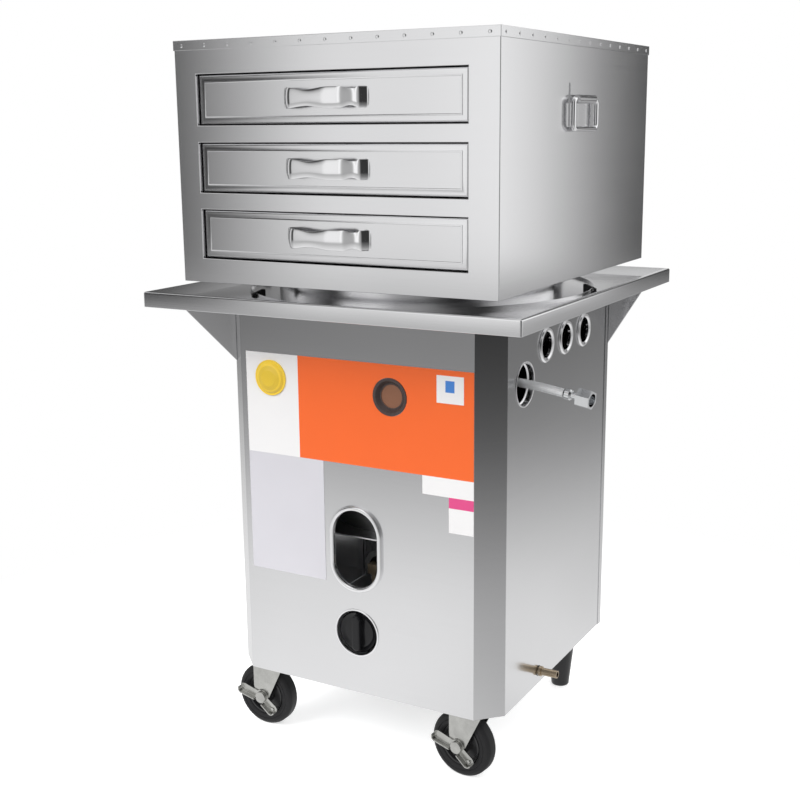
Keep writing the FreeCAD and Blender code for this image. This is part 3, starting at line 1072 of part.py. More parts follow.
def build_box():
    """Front frame with three openings, wrapped walls, floor with its collar, lid and lid rivets."""
    inner_left, inner_right = f"{BOX_LEFT} + skin", f"{BOX_RIGHT} - skin"
    wall_front, inner_back = f"{BOX_FRONT} + skin", f"{BOX_BACK} - skin"
    wrap = [(BOX_LEFT, wall_front), (BOX_LEFT, BOX_BACK), (BOX_RIGHT, BOX_BACK), (BOX_RIGHT, wall_front),
            (inner_right, wall_front), (inner_right, inner_back), (inner_left, inner_back),
            (inner_left, wall_front)]
    under_lid = f"{BOX_TOP} - skin"
    piece("box_walls", plate("wrap_sheet", "XY_Plane", BOX_FLOOR, under_lid, wrap))

    face = box("face_sheet", (BOX_LEFT, BOX_RIGHT), (BOX_FRONT, wall_front), (BOX_FLOOR, under_lid))
    collars, openings = [], []
    collar_y = (BOX_FRONT, f"{BOX_FRONT} + opening_return")
    half_z = "(drawer_height / 2 + drawer_gap)"
    for index in range(3):
        middle = drawer_middle(index)
        span_x = (f"drawer_x - {OPENING_HALF}", f"drawer_x + {OPENING_HALF}")
        span_z = (f"{middle} - {half_z}", f"{middle} + {half_z}")
        round_x = (f"{span_x[0]} - skin", f"{span_x[1]} + skin")
        round_z = (f"{span_z[0]} - skin", f"{span_z[1]} + skin")
        collars.append(box(f"opening_collar_{index}", round_x, collar_y, round_z))
        openings.append(box(f"opening_{index}", span_x, past(*collar_y), span_z))
    piece("box_front", cut("face_cut", fuse("face_solid", face, *collars), *openings))

    centre = ("0", "0")
    floor_top = f"{BOX_FLOOR} + skin"
    floor = box("floor_blank", (inner_left, inner_right), (wall_front, inner_back), (BOX_FLOOR, floor_top))
    ring = rod("collar_ring", "Z", centre, "collar_radius", PAN_FLANGE_TOP, f"{BOX_FLOOR} + skin / 2")
    bore = rod("collar_bore", "Z", centre, "collar_radius - skin", *past(PAN_FLANGE_TOP, floor_top))
    piece("box_floor", cut("box_floor_cut", fuse("box_floor_solid", floor, ring), bore))

    lid_x = (f"{BOX_LEFT} - skin", f"{BOX_RIGHT} + skin")
    lid_y = (f"{BOX_FRONT} - skin", f"{BOX_BACK} + skin")
    lid_bottom = f"{BOX_TOP} - lid_flange"
    lid = box("lid_blank", lid_x, lid_y, (lid_bottom, BOX_TOP))
    room = box("lid_room", (BOX_LEFT, BOX_RIGHT), (BOX_FRONT, BOX_BACK),
               (f"{lid_bottom} - spare", under_lid))
    piece("box_lid", cut("lid_cut", lid, room))
    build_rivets(lid_x, lid_y)
    build_runners(inner_left, inner_right, inner_back)


def build_rivets(lid_x, lid_y):
    """A row of rivets round each side of the lid's flange."""
    rivets = []
    height = f"{BOX_TOP} - lid_flange / 2 - skin / 2"
    rows = ((13, "X", lid_y, BOX_LEFT, "box_width"), (14, "Y", lid_x, BOX_FRONT, "box_depth"))
    for count, along, sides, start, length in rows:
        for side, (seat, out) in enumerate(zip(sides, (-1, 1))):
            for i in range(count):
                at = f"{start} + rivet_margin + {i} * ({length} - 2 * rivet_margin) / {count - 1}"
                head = add("Part::Cone", f"rivet_{along}_{side}_{i}")
                bind(head, Radius1="rivet_radius", Radius2="rivet_radius * 0.55", Height="rivet_height")
                if along == "X":
                    place(head, at, seat, height, turn=(Vector(1, 0, 0), -90 * out))
                else:
                    place(head, seat, at, height, turn=(Vector(0, 1, 0), 90 * out))
                rivets.append(head)
    piece("lid_rivets", group("rivets", *rivets))


def build_runners(inner_left, inner_right, inner_back):
    """Angle runners on the box walls, one below each lip of each tray."""
    runners = []
    run_y = (f"{TRAY_FRONT} + tray_sheet + 1", f"{inner_back} - 6")
    for index in range(3):
        top = f"{drawer_middle(index)} + 1 - slide_gap"
        for word, wall, toward in (("left", inner_left, 1), ("right", inner_right, -1)):
            tip = f"drawer_x - {toward} * ({TRAY_HALF} + 1)"
            leg = f"{wall} + {toward} * runner_sheet"
            low_x, high_x = (wall, tip) if toward > 0 else (tip, wall)
            leg_x = (wall, leg) if toward > 0 else (leg, wall)
            shelf = box(f"runner_shelf_{word}_{index}", (low_x, high_x), run_y,
                        (f"{top} - runner_sheet", top))
            flange = box(f"runner_flange_{word}_{index}", leg_x, run_y, (f"{top} - runner_leg", top))
            runners.append(fuse(f"runner_{word}_{index}", shelf, flange))
    piece("drawer_runners", group("runners", *runners))


def build_drawer(index):
    """One drawer: a hollow front with a raised line, a tray with side lips and a strap pull."""
    number = 3 - index
    middle = drawer_middle(index)
    half_w, half_h = "drawer_width / 2", "drawer_height / 2"
    span_x = (f"drawer_x - {half_w}", f"drawer_x + {half_w}")
    span_z = (f"{middle} - {half_h}", f"{middle} + {half_h}")
    body = plate(f"drawer_skin_{number}", "XZ_Plane", DRAWER_FACE, TRAY_FRONT, rectangle(span_x, span_z))
    doc.recompute()
    front_y, back_y = num(DRAWER_FACE), num(TRAY_FRONT)
    rim = edges_where(body.Tip.Shape, lambda middle, edge: middle.y < front_y + 0.01)
    rounded = dress(body, "Fillet", body.Tip, rim, "drawer_round")
    hollow(body, rounded, lambda face: face.BoundBox.YMin > back_y - 0.01, "skin")
    out = tuple(f"{edge} {sign} bead_inset" for edge, sign in zip(span_x, "+-"))
    out_z = tuple(f"{edge} {sign} bead_inset" for edge, sign in zip(span_z, "+-"))
    line = tuple(f"{edge} {sign} bead_width" for edge, sign in zip(out, "+-"))
    line_z = tuple(f"{edge} {sign} bead_width" for edge, sign in zip(out_z, "+-"))
    bead = outline(body, f"drawer_bead_{number}", "XZ_Plane", rectangle(out, out_z),
                   rectangle(line, line_z), offset=f"-({DRAWER_FACE}) - bead_sink")
    body.Tip = pad(body, bead, "bead_height + bead_sink")
    piece(f"drawer_front_{number}", body)

    lip_z = (f"{middle} + 1", f"{middle} + 1 + tray_sheet")
    bottom = f"{lip_z[1]} - tray_depth"
    tray_x = (f"drawer_x - {TRAY_HALF}", f"drawer_x + {TRAY_HALF}")
    tray_y = (TRAY_FRONT, f"{TRAY_FRONT} + tray_length")
    pan = box(f"tray_pan_{number}", tray_x, tray_y, (bottom, lip_z[1]))
    lips = box(f"tray_lips_{number}", (f"{tray_x[0]} - tray_lip", f"{tray_x[1]} + tray_lip"), tray_y, lip_z)
    room = box(f"tray_room_{number}", (f"{tray_x[0]} + tray_sheet", f"{tray_x[1]} - tray_sheet"),
               (f"{tray_y[0]} + tray_sheet", f"{tray_y[1]} - tray_sheet"),
               (f"{bottom} + tray_sheet", f"{lip_z[1]} + spare"))
    back = box(f"tray_plate_{number}", span_x, (TRAY_FRONT, f"{TRAY_FRONT} + tray_sheet"), span_z)
    solid = fuse(f"tray_solid_{number}", pan, lips, back)
    piece(f"drawer_tray_{number}", cut(f"tray_cut_{number}", solid, room))
    build_pull(number, middle)


def build_pull(number, middle):
    """Strap pull: a scooped heel, a waisted grip, a raised flat, a waisted slope and a leg."""
    left, right = "(-pull_length / 2)", "(pull_length / 2)"
    heel = f"({left} + pull_heel)"
    grip, grip_end = f"({heel} + pull_rise)", f"({heel} + pull_grip)"
    flat, flat_end = f"({grip_end} + pull_ramp)", f"({grip_end} + pull_ramp + pull_flat)"
    step_end, leg = f"({flat_end} + pull_step)", f"({right} - pull_leg)"
    low, high, thick = "(-pull_reach)", "(-pull_crest)", "pull_sheet"
    low_in, high_in = f"{low} + {thick}", f"{high} + {thick}"
    front = [(left, "0"), (left, f"{low} / 2"), (grip, low), (grip_end, low), (flat, high),
             (flat_end, high), (step_end, low), (leg, low), (right, f"{low} + 5"), (right, "0")]
    back = [(f"{right} - {thick}", "0"), (f"{right} - {thick}", f"{low} + 6"),
            (f"{leg} - {thick} / 2", low_in), (f"{step_end} - {thick} / 5", low_in),
            (f"{flat_end} - {thick} / 5", high_in),
            (f"{flat} + {thick} / 2", high_in), (f"{grip_end} + {thick} / 2", low_in), (grip, low_in),
            (f"{heel} + 3", f"{low} / 2"), (f"{heel} + 3", "0")]
    strap = plate(f"pull_strap_{number}", "XY_Plane", "-pull_width / 2", "pull_width / 2", front + back)
    deep = "-pull_crest - spare"
    scoops = [rod(f"pull_heel_scoop_{number}", "Y", (f"{heel} - pull_scoop", "0"), "pull_scoop", deep,
                  "-pull_sheet")]
    waists = (("grip", f"({heel} + {grip_end}) / 2 + 2", "pull_grip / 2 + 2", "grip_waist"),
              ("step", f"({flat_end} + {step_end}) / 2", "pull_step / 2 - 1", "step_waist"))
    for name, x, half, depth in waists:
        radius = f"((({half}) ^ 2 + {depth} ^ 2) / (2 * {depth}))"
        for word, sign in (("low", -1), ("high", 1)):
            z = f"{sign} * (pull_width / 2 + {radius} - {depth})"
            scoops.append(rod(f"pull_{name}_{word}_{number}", "Y", (x, z), radius, deep, "-3"))
    pull = cut(f"pull_cut_{number}", strap, *scoops)
    piece(f"drawer_pull_{number}", place(pull, "drawer_x", DRAWER_FACE, middle))


def build_side_handles():
    """Plates with a rolled barrel on both box walls, and the wire rings that swing in them."""
    plates = []
    y = "(box_y + bail_y)"
    for word, wall, out in (("left", BOX_LEFT, -1), ("right", BOX_RIGHT, 1)):
        face = f"({wall} + {out} * ear_plate)"
        axis_x = f"({wall} + {out} * {BAIL_OUT})"
        span = (wall, face) if out > 0 else (face, wall)
        back = box(f"ear_back_{word}", span, (f"{y} - ear_width / 2", f"{y} + ear_width / 2"),
                   (f"{BAIL_Z} - ear_below", f"{BAIL_Z} + ear_above"))
        half_barrel, at = "barrel_length / 2", (axis_x, BAIL_Z)
        ends = (f"{y} - {half_barrel}", f"{y} + {half_barrel}")
        barrel = rod(f"ear_barrel_{word}", "Y", at, "barrel_radius", *ends)
        bore = rod(f"ear_bore_{word}", "Y", at, "bail_wire + running_gap", *past(*ends))
        plates.append(cut(f"ear_{word}", fuse(f"ear_solid_{word}", back, barrel), bore))

        side = f"bail_{word}"
        ring = add("PartDesign::Body", f"{side}_body")
        half, low, bend = "(bail_width / 2)", "(-bail_height)", "bail_corner"
        in_x, in_low = f"{half} - {bend}", f"{low} + {bend}"
        loop = [(in_x, "0", in_x, f"-{bend}"), (half, f"-{bend}"), (half, in_low, in_x, in_low),
                (in_x, low), (f"-({in_x})", low, f"-({in_x})", in_low), (f"-{half}", in_low),
                (f"-{half}", f"-{bend}", f"-({in_x})", f"-{bend}"), (f"-({in_x})", "0")]
        spine = outline(ring, f"{side}_spine", "YZ_Plane", loop)
        section = outline(ring, f"{side}_section", "XZ_Plane", ("0", "0", "bail_wire"))
        sweep = ring.newObject("PartDesign::AdditivePipe", f"{side}_sweep")
        sweep.Profile = section
        sweep.Spine = spine
        place(ring, axis_x, y, BAIL_Z)
        piece(f"side_handle_{word}", ring)
    piece("handle_plates", group("ears", *plates))


def check_and_write():
    """Stop on any failed object or bad shape, then write one STEP file for each sub-part."""
    doc.recompute()
    failed = [thing.Name for thing in doc.Objects if {"Invalid", "Error"} & set(thing.State)]
    if failed:
        raise RuntimeError("failed objects: " + ", ".join(failed))
    for part in pieces:
        if part.Shape.isNull() or not part.Shape.isValid() or not part.Shape.Solids:
            raise RuntimeError("bad shape: " + part.Label)
    os.makedirs("parts", exist_ok=True)
    for part in pieces:
        part.Shape.exportStep(f"parts/{part.Label}.step")
    print(len(pieces), "sub-parts,", sum(len(part.Shape.Solids) for part in pieces), "solids")


build_table()
build_gussets()
build_cabinet()
build_pan()
build_furnace()
build_gas()
build_front_trim()
build_side_trim()
build_water_feed()
build_hose()
build_knob()
build_casters()
build_feet()
build_box()
for level in range(3):
    build_drawer(level)
build_side_handles()
check_and_write()
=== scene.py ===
"""Finishes and fine detail of the rice noodle roll steamer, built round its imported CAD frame. Metres, +Z up."""

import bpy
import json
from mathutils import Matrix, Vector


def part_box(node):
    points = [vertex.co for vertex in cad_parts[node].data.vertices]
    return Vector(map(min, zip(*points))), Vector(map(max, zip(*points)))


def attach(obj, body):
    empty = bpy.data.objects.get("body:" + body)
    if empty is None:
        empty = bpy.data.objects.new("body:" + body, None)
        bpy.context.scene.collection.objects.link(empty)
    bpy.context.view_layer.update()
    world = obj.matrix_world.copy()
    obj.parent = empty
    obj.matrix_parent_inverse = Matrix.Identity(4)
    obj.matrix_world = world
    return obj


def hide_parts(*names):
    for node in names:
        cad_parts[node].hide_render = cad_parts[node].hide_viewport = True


bl_info = {
    "name": "Rice Noodle Roll Steamer",
    "version": (1, 0, 0),
    "blender": (4, 5, 0),
    "location": "View3D > Sidebar > Steamer",
    "description": "Finishes, trim, hose, wheels and studio of a gas steamer around its fixed CAD frame",
    "category": "Add Mesh",
}
import json
import math
import bmesh
import bpy
import numpy as np
from bpy.props import FloatProperty, FloatVectorProperty, IntProperty, PointerProperty
from mathutils import Matrix, Vector

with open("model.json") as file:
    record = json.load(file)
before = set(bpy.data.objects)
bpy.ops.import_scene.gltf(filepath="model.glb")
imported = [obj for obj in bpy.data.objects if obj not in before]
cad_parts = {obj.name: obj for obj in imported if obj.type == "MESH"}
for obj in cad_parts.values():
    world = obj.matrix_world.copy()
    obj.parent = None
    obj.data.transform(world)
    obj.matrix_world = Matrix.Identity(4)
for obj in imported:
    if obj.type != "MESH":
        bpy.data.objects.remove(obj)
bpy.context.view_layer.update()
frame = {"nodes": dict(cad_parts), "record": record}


# ---------------------------------------------------------------- settings

def colour(name, value, description):
    """A described colour setting."""
    return FloatVectorProperty(name=name, default=value, size=3, min=0, max=1, subtype="COLOR",
                               description=description)


def length(name, value, description):
    """A described length setting, in metres."""
    return FloatProperty(name=name, default=value, unit="LENGTH", description=description)


class SteamerColours(bpy.types.PropertyGroup):
    """Colours of the finishes."""
    steel: colour("Steel", (0.80, 0.80, 0.81), "Brushed stainless sheet")
    # Painted shade: the cabinet's sheets darken upwards to this colour, standing in for the table's shadow
    steel_painted_shade: colour("Shaded steel", (0.36, 0.36, 0.365), "Stainless sheet under the table's edge")
    bright: colour("Bright steel", (0.90, 0.90, 0.91), "Polished rings, rims and pulls")
    zinc: colour("Zinc", (0.52, 0.52, 0.50), "Plated caster sheet")
    rubber: colour("Rubber", (0.011, 0.011, 0.012), "Tyres and pan clips")
    black: colour("Black plastic", (0.006, 0.006, 0.007), "Gas knob and feet")
    brass: colour("Brass", (0.52, 0.42, 0.30), "Dull brass of taps and pipes")
    plating: colour("Plating", (0.70, 0.71, 0.72), "Bright plating of the hose coupling")
    iron: colour("Cast iron", (0.06, 0.06, 0.062), "Burner and mixer tube")
    lining: colour("Lining", (0.66, 0.62, 0.55), "Refractory lining")
    orange: colour("Orange", (0.88, 0.135, 0.018), "Orange panel")
    white: colour("White", (0.84, 0.83, 0.83), "White panel and tag")
    card: colour("Card", (0.62, 0.61, 0.65), "Bare card")
    yellow: colour("Yellow", (0.90, 0.62, 0.05), "Domed yellow disc")
    pink: colour("Pink", (0.72, 0.07, 0.24), "Head of the small tag")
    blue: colour("Blue", (0.055, 0.22, 0.62), "Square on the small tag")
    port_rim: colour("Port rim", (0.055, 0.040, 0.038), "Dark rim of the round port")
    lens: colour("Lens", (0.25, 0.11, 0.06), "Lens of the round port")


class SteamerSizes(bpy.types.PropertyGroup):
    """Sizes of the detail that is added to the frame."""
    edge: length("Edge", 0.0009, "Rounding of folded sheet edges")
    hose: length("Hose", 0.013, "Outside diameter of the water hose")
    braid: length("Braid", 0.0005, "Height of the hose's braid")
    turns: IntProperty(name="Turns", default=96, min=24, description="Steps round a turned piece")


class SteamerStudio(bpy.types.PropertyGroup):
    """Camera and light."""
    yaw: FloatProperty(name="Yaw", default=math.radians(29.36), subtype="ANGLE", description="Camera's turn about Z")
    pitch: FloatProperty(name="Pitch", default=math.radians(12.68), subtype="ANGLE", description="Camera's tilt down")
    roll: FloatProperty(name="Roll", default=math.radians(-0.57), subtype="ANGLE", description="Camera's roll")
    place: FloatVectorProperty(name="Place", default=(0.9331, -1.7339, 0.9755), subtype="TRANSLATION",
                               description="Camera's place")
    lens: FloatProperty(name="Lens", default=55.6, description="Focal length in mm on a 36 mm frame")
    sky: FloatProperty(name="Sky", default=1.08, description="Strength of the light from all round")
    key: FloatProperty(name="Key", default=76.0, unit="POWER", description="Power of the soft key lamp")
    tent: length("Tent", 2.2, "Radius of the reflection tent")


def rgba(value):
    """A colour with full alpha."""
    return (*value[:3], 1.0)


# ---------------------------------------------------------------- node trees

class Tree:
    """A node tree with a short way to add a node with its inputs."""

    def __init__(self, tree):
        self.tree = tree

    def add(self, kind, inputs=None, **settings):
        node = self.tree.nodes.new(kind)
        for name, value in settings.items():
            setattr(node, name, value)
        for name, value in (inputs or {}).items():
            if isinstance(value, bpy.types.NodeSocket):
                self.tree.links.new(value, node.inputs[name])
            else:
                node.inputs[name].default_value = value
        return node

    def math(self, operation, a, b):
        return self.add("ShaderNodeMath", {0: a, 1: b}, operation=operation).outputs[0]

    def seen(self):
        """1 for rays that show white to the camera, straight or by a reflection or a pane, and 0 for light."""
        ray = self.add("ShaderNodeLightPath").outputs
        return self.math("MAXIMUM", ray["Is Camera Ray"],
                         self.math("MAXIMUM", ray["Is Glossy Ray"], ray["Is Transmission Ray"]))

    def scaled(self, vector, scale):
        return self.add("ShaderNodeVectorMath", {0: vector, 1: scale}, operation="MULTIPLY").outputs[0]

    def noise(self, vector, scale, detail=2.0, rough=0.5):
        return self.add("ShaderNodeTexNoise", {"Vector": vector, "Scale": scale, "Detail": detail,
                                               "Roughness": rough}).outputs["Fac"]

    def mix(self, factor, a, b, blend="MIX"):
        node = self.add("ShaderNodeMix", data_type="RGBA", blend_type=blend)
        for socket, value in ((node.inputs[0], factor), (node.inputs[6], a), (node.inputs[7], b)):
            if isinstance(value, bpy.types.NodeSocket):
                self.tree.links.new(value, socket)
            else:
                socket.default_value = value
        return node.outputs[2]

    def spread(self, value, low, high, to_low=0.0, to_high=1.0, kind="SMOOTHSTEP"):
        return self.add("ShaderNodeMapRange", {"Value": value, "From Min": low, "From Max": high, "To Min": to_low,
                                               "To Max": to_high}, interpolation_type=kind).outputs[0]


def shader_group(name, inputs, outputs, fill):
    """A node group with named sockets. fill adds its nodes and returns the values of its outputs."""
    group = bpy.data.node_groups.new(name, "ShaderNodeTree")
    for socket, kind, value in inputs:
        made = group.interface.new_socket(name=socket, in_out="INPUT", socket_type=kind)
        made.default_value = value
    for socket, kind in outputs:
        group.interface.new_socket(name=socket, in_out="OUTPUT", socket_type=kind)
    tree = Tree(group)
    start = tree.add("NodeGroupInput")
    end = tree.add("NodeGroupOutput")
    for socket, value in fill(tree, start.outputs).items():
        group.links.new(value, end.inputs[socket])
    return group


BRUSHED = (3, 3, 700)   # Grain's scale along X, Y and Z: the lines run level, drawn out along the sheet
BRUSHED_DEPTH = 0.0001  # Depth of its lines, in metres


def make_grain():
    """Fine lines drawn out along one way, with broad soft clouds in tone."""
    def fill(tree, given):
        lines = tree.noise(tree.scaled(given["Vector"], given["Stretch"]), 1.0, 3.0, 0.6)
        clouds = tree.noise(given["Vector"], 5.0, 2.0)
        tone = tree.math("ADD", tree.math("MULTIPLY", tree.math("SUBTRACT", clouds, 0.5), given["Clouds"]),
                         tree.math("MULTIPLY", tree.math("SUBTRACT", lines, 0.5), given["Lines"]))
        rough = tree.math("ADD", given["Roughness"], tree.math("MULTIPLY", tone, 0.6))
        return {"Height": lines, "Tone": tree.math("ADD", tone, 1.0), "Roughness": rough}
    return shader_group("grain", [("Vector", "NodeSocketVector", (0, 0, 0)),
                                  ("Stretch", "NodeSocketVector", BRUSHED), ("Lines", "NodeSocketFloat", 0.06),
                                  ("Clouds", "NodeSocketFloat", 0.08), ("Roughness", "NodeSocketFloat", 0.25)],
                        [("Height", "NodeSocketFloat"), ("Tone", "NodeSocketFloat"),
                         ("Roughness", "NodeSocketFloat")], fill)


def make_speckle():
    """Small grains and larger blotches, for castings, rubber and plating."""
    def fill(tree, given):
        fine = tree.noise(given["Vector"], given["Fine"], 3.0, 0.6)
        broad = tree.noise(given["Vector"], given["Broad"], 2.0)
        tone = tree.math("ADD", tree.math("MULTIPLY", tree.math("SUBTRACT", broad, 0.5), given["Amount"]), 1.0)
        rough = tree.math("ADD", given["Roughness"], tree.math("MULTIPLY", tree.math("SUBTRACT", fine, 0.5), 0.2))
        return {"Height": fine, "Tone": tone, "Roughness": rough}
    return shader_group("speckle", [("Vector", "NodeSocketVector", (0, 0, 0)), ("Fine", "NodeSocketFloat", 900.0),
                                    ("Broad", "NodeSocketFloat", 30.0), ("Amount", "NodeSocketFloat", 0.3),
                                    ("Roughness", "NodeSocketFloat", 0.5)],
                        [("Height", "NodeSocketFloat"), ("Tone", "NodeSocketFloat"),
                         ("Roughness", "NodeSocketFloat")], fill)


def make_fade():
    """A smooth change between two places along Z."""
    def fill(tree, given):
        height = tree.add("ShaderNodeSeparateXYZ", {0: given["Vector"]}).outputs[2]
        return {"Factor": tree.spread(height, given["Low"], given["High"])}
    return shader_group("fade_up", [("Vector", "NodeSocketVector", (0, 0, 0)), ("Low", "NodeSocketFloat", 0.0),
                                    ("High", "NodeSocketFloat", 1.0)], [("Factor", "NodeSocketFloat")], fill)


def make_patch():
    """1 inside a rectangle of X and Z, and 0 outside it."""
    def fill(tree, given):
        x, _, z = tree.add("ShaderNodeSeparateXYZ", {0: given["Vector"]}).outputs
        inside = [tree.math("GREATER_THAN", x, given["Left"]), tree.math("LESS_THAN", x, given["Right"]),
                  tree.math("GREATER_THAN", z, given["Low"]), tree.math("LESS_THAN", z, given["High"])]
        mask = inside[0]
        for side in inside[1:]:
            mask = tree.math("MULTIPLY", mask, side)
        return {"Mask": mask}
    sides = [(side, "NodeSocketFloat", 0.0) for side in ("Left", "Right", "Low", "High")]
    return shader_group("patch", [("Vector", "NodeSocketVector", (0, 0, 0)), *sides],
                        [("Mask", "NodeSocketFloat")], fill)


DISC_EDGE = 0.0006  # Half the width over which a disc's mask fades, in metres


def make_disc():
    """1 within a radius of a centre, seen along Y, with a soft edge."""
    def fill(tree, given):
        flat = tree.scaled(given["Vector"], (1, 0, 1))
        away = tree.add("ShaderNodeVectorMath", {0: flat, 1: given["Centre"]}, operation="DISTANCE").outputs["Value"]
        edge = tree.math("SUBTRACT", away, given["Radius"])
        return {"Mask": tree.spread(edge, -DISC_EDGE, DISC_EDGE, 1.0, 0.0)}
    return shader_group("disc", [("Vector", "NodeSocketVector", (0, 0, 0)), ("Centre", "NodeSocketVector", (0, 0, 0)),
                                 ("Radius", "NodeSocketFloat", 0.01)], [("Mask", "NodeSocketFloat")], fill)


MAKERS = {"grain": make_grain, "speckle": make_speckle, "fade_up": make_fade, "patch": make_patch, "disc": make_disc}
GROUPS = {}


def group_node(tree, name, **inputs):
    """A shared group's node, with its own values. The group is made at its first use."""
    if name not in GROUPS:
        GROUPS[name] = MAKERS[name]()
    return tree.add("ShaderNodeGroup", inputs, node_tree=GROUPS[name])


def begin(name, **values):
    """A new material with one principled shader, its plain values set on its own sockets."""
    material = bpy.data.materials.new(name)
    material.use_nodes = True
    tree = Tree(material.node_tree)
    shader = material.node_tree.nodes["Principled BSDF"]
    for key, value in values.items():
        shader.inputs[key.replace("_", " ")].default_value = value
    where = tree.add("ShaderNodeTexCoord").outputs["Object"]
    return material, tree, shader, where


def finish_shader(tree, shader, base, roughness, height, strength, distance):
    """Link colour, roughness and a bump into a shader."""
    links = tree.tree.links
    links.new(base, shader.inputs["Base Color"])
    links.new(roughness, shader.inputs["Roughness"])
    bump = tree.add("ShaderNodeBump", {"Height": height, "Strength": strength, "Distance": distance})
    links.new(bump.outputs[0], shader.inputs["Normal"])


def toned(tree, base, tone):
    """A colour made lighter or darker by a tone near 1."""
    gray = tree.add("ShaderNodeCombineColor", {0: tone, 1: tone, 2: tone}).outputs[0]
    return tree.mix(1.0, base, gray, "MULTIPLY")


def sheet_steel(name, base, roughness=0.18, shade=None, fade=(0.0, 1.0), lines=0.05, clouds=0.05, bump=0.12):
    """Brushed stainless sheet. With a shade, it darkens upwards between the two heights of fade, a painted shade."""
    material, tree, shader, where = begin(name, Metallic=1.0)
    grain = group_node(tree, "grain", Vector=where, Stretch=BRUSHED, Roughness=roughness, Lines=lines, Clouds=clouds)
    tint = rgba(base)
    if shade is not None:
        factor = group_node(tree, "fade_up", Vector=where, Low=fade[0], High=fade[1]).outputs[0]
        tint = tree.mix(factor, rgba(base), rgba(shade))
    finish_shader(tree, shader, toned(tree, tint, grain.outputs["Tone"]), grain.outputs["Roughness"],
                  grain.outputs["Height"], bump, BRUSHED_DEPTH)
    return material


def speckled(name, base, roughness, metallic=0.0, fine=900.0, broad=30.0, amount=0.3, bump=0.2, distance=0.0002,
             fields=(), **values):
    """A cast, plated or moulded finish. Each field is (group, its values, colour), laid over the base colour."""
    material, tree, shader, where = begin(name, Metallic=metallic, **values)
    grain = group_node(tree, "speckle", Vector=where, Fine=fine, Broad=broad, Amount=amount, Roughness=roughness)
    tint = rgba(base)
    for group, settings, field in fields:
        mask = group_node(tree, group, Vector=where, **settings).outputs[0]
        tint = tree.mix(mask, tint, rgba(field))
    finish_shader(tree, shader, toned(tree, tint, grain.outputs["Tone"]), grain.outputs["Roughness"],
                  grain.outputs["Height"], bump, distance)
    return material


# ---------------------------------------------------------------- surfaces

GRID_JOIN = 1e-6             # Points of a new piece nearer than this become one, in metres
COPY_JOIN = 2e-6             # The same for a copy of a CAD node
FLAT = math.radians(0.5)     # Faces of a copy that meet at less than this become one
FOLD = math.radians(30.0)    # Edges of a copy that turn by more than this are rounded


def rounded_profile(points, radius, steps=5):
    """A profile with each corner replaced by a parabolic arc that starts up to radius before it."""
    points = [np.array(point, float) for point in points]
    made = [points[0]]
    for before, corner, after in zip(points, points[1:], points[2:]):
        back, ahead = before - corner, after - corner
        reach = min(radius, 0.48 * np.linalg.norm(back), 0.48 * np.linalg.norm(ahead))
        into = corner + back / np.linalg.norm(back) * reach
        out = corner + ahead / np.linalg.norm(ahead) * reach
        for t in np.linspace(0, 1, steps):
            made.append((1 - t) ** 2 * into + 2 * t * (1 - t) * corner + t ** 2 * out)
    made.append(points[-1])
    return np.array(made)


def grid_faces(rows, columns):
    """Faces of a grid of points that is closed along its second way."""
    index = np.arange(rows * columns).reshape(rows, columns)
    after = np.roll(index, -1, axis=1)
    return np.stack([index[:-1], after[:-1], after[1:], index[1:]], -1).reshape(-1, 4).tolist()


def grid_mesh(name, points, material):
    """A smooth piece over a grid of points that is closed along its second way, its faces turned outward."""
    mesh = bpy.data.meshes.new(name)
    mesh.from_pydata(points.reshape(-1, 3), [], grid_faces(*points.shape[:2]))
    piece = bpy.data.objects.new(name, mesh)
    bpy.context.scene.collection.objects.link(piece)
    shape = bmesh.new()
    shape.from_mesh(mesh)
    bmesh.ops.remove_doubles(shape, verts=shape.verts, dist=GRID_JOIN)
    bmesh.ops.recalc_face_normals(shape, faces=shape.faces)
    shape.to_mesh(mesh)
    shape.free()
    mesh.shade_smooth()
    mesh.materials.append(material)
    return piece


def lathe(name, profile, place, axis, turns, material):
    """A turned piece: each (radius, height) of the profile goes round the axis through place."""
    profile = np.asarray(profile, float)
    angle = np.linspace(0, 2 * math.pi, turns, endpoint=False)
    ring = np.stack([np.cos(angle), np.sin(angle)], -1)
    points = np.empty((len(profile), turns, 3))
    points[:, :, :2] = profile[:, None, :1] * ring[None]
    points[:, :, 2] = profile[:, None, 1]
    turn = Vector(axis).to_track_quat("Z", "Y").to_matrix()
    return grid_mesh(name, points @ np.array(turn).T + np.array(place), material)


def resampled(points, count):
    """Points spaced evenly along a path's own length, and how far along each lies."""
    points = np.asarray(points, float)
    run = np.concatenate([[0], np.cumsum(np.linalg.norm(np.diff(points, axis=0), axis=1))])
    place = np.linspace(0, run[-1], count)
    return np.stack([np.interp(place, run, points[:, k]) for k in range(points.shape[1])], -1), place


def capped(points):
    """Rows of a tube with its first and last rows drawn in to their middles, so that the ends are closed."""
    first = np.broadcast_to(points[0].mean(0), points[0].shape)
    last = np.broadcast_to(points[-1].mean(0), points[-1].shape)
    return np.concatenate([first[None], points, last[None]])


def sharpen(piece, degrees=35.0):
    """Smooth shading with sharp edges where faces meet at more than an angle."""
    piece.data.set_sharp_from_angle(angle=math.radians(degrees))


def keep(piece, body, slot, *nodes):
    """Tie a piece to its body, and let it stand for CAD nodes. Its slot is not used."""
    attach(piece, body)
    if nodes:
        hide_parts(*nodes)
    return piece


def merged_copy(node, name):
    """A copy of a CAD node with its loose triangles joined and smoothed."""
    source = frame["nodes"][node]
    piece = bpy.data.objects.new(name, source.data.copy())
    bpy.context.scene.collection.objects.link(piece)
    shape = bmesh.new()
    shape.from_mesh(piece.data)
    bmesh.ops.remove_doubles(shape, verts=shape.verts, dist=COPY_JOIN)
    bmesh.ops.dissolve_limit(shape, angle_limit=FLAT, verts=shape.verts, edges=shape.edges)
    shape.to_mesh(piece.data)
    shape.free()
    piece.data.materials.clear()
    piece.data.shade_smooth()
    return piece


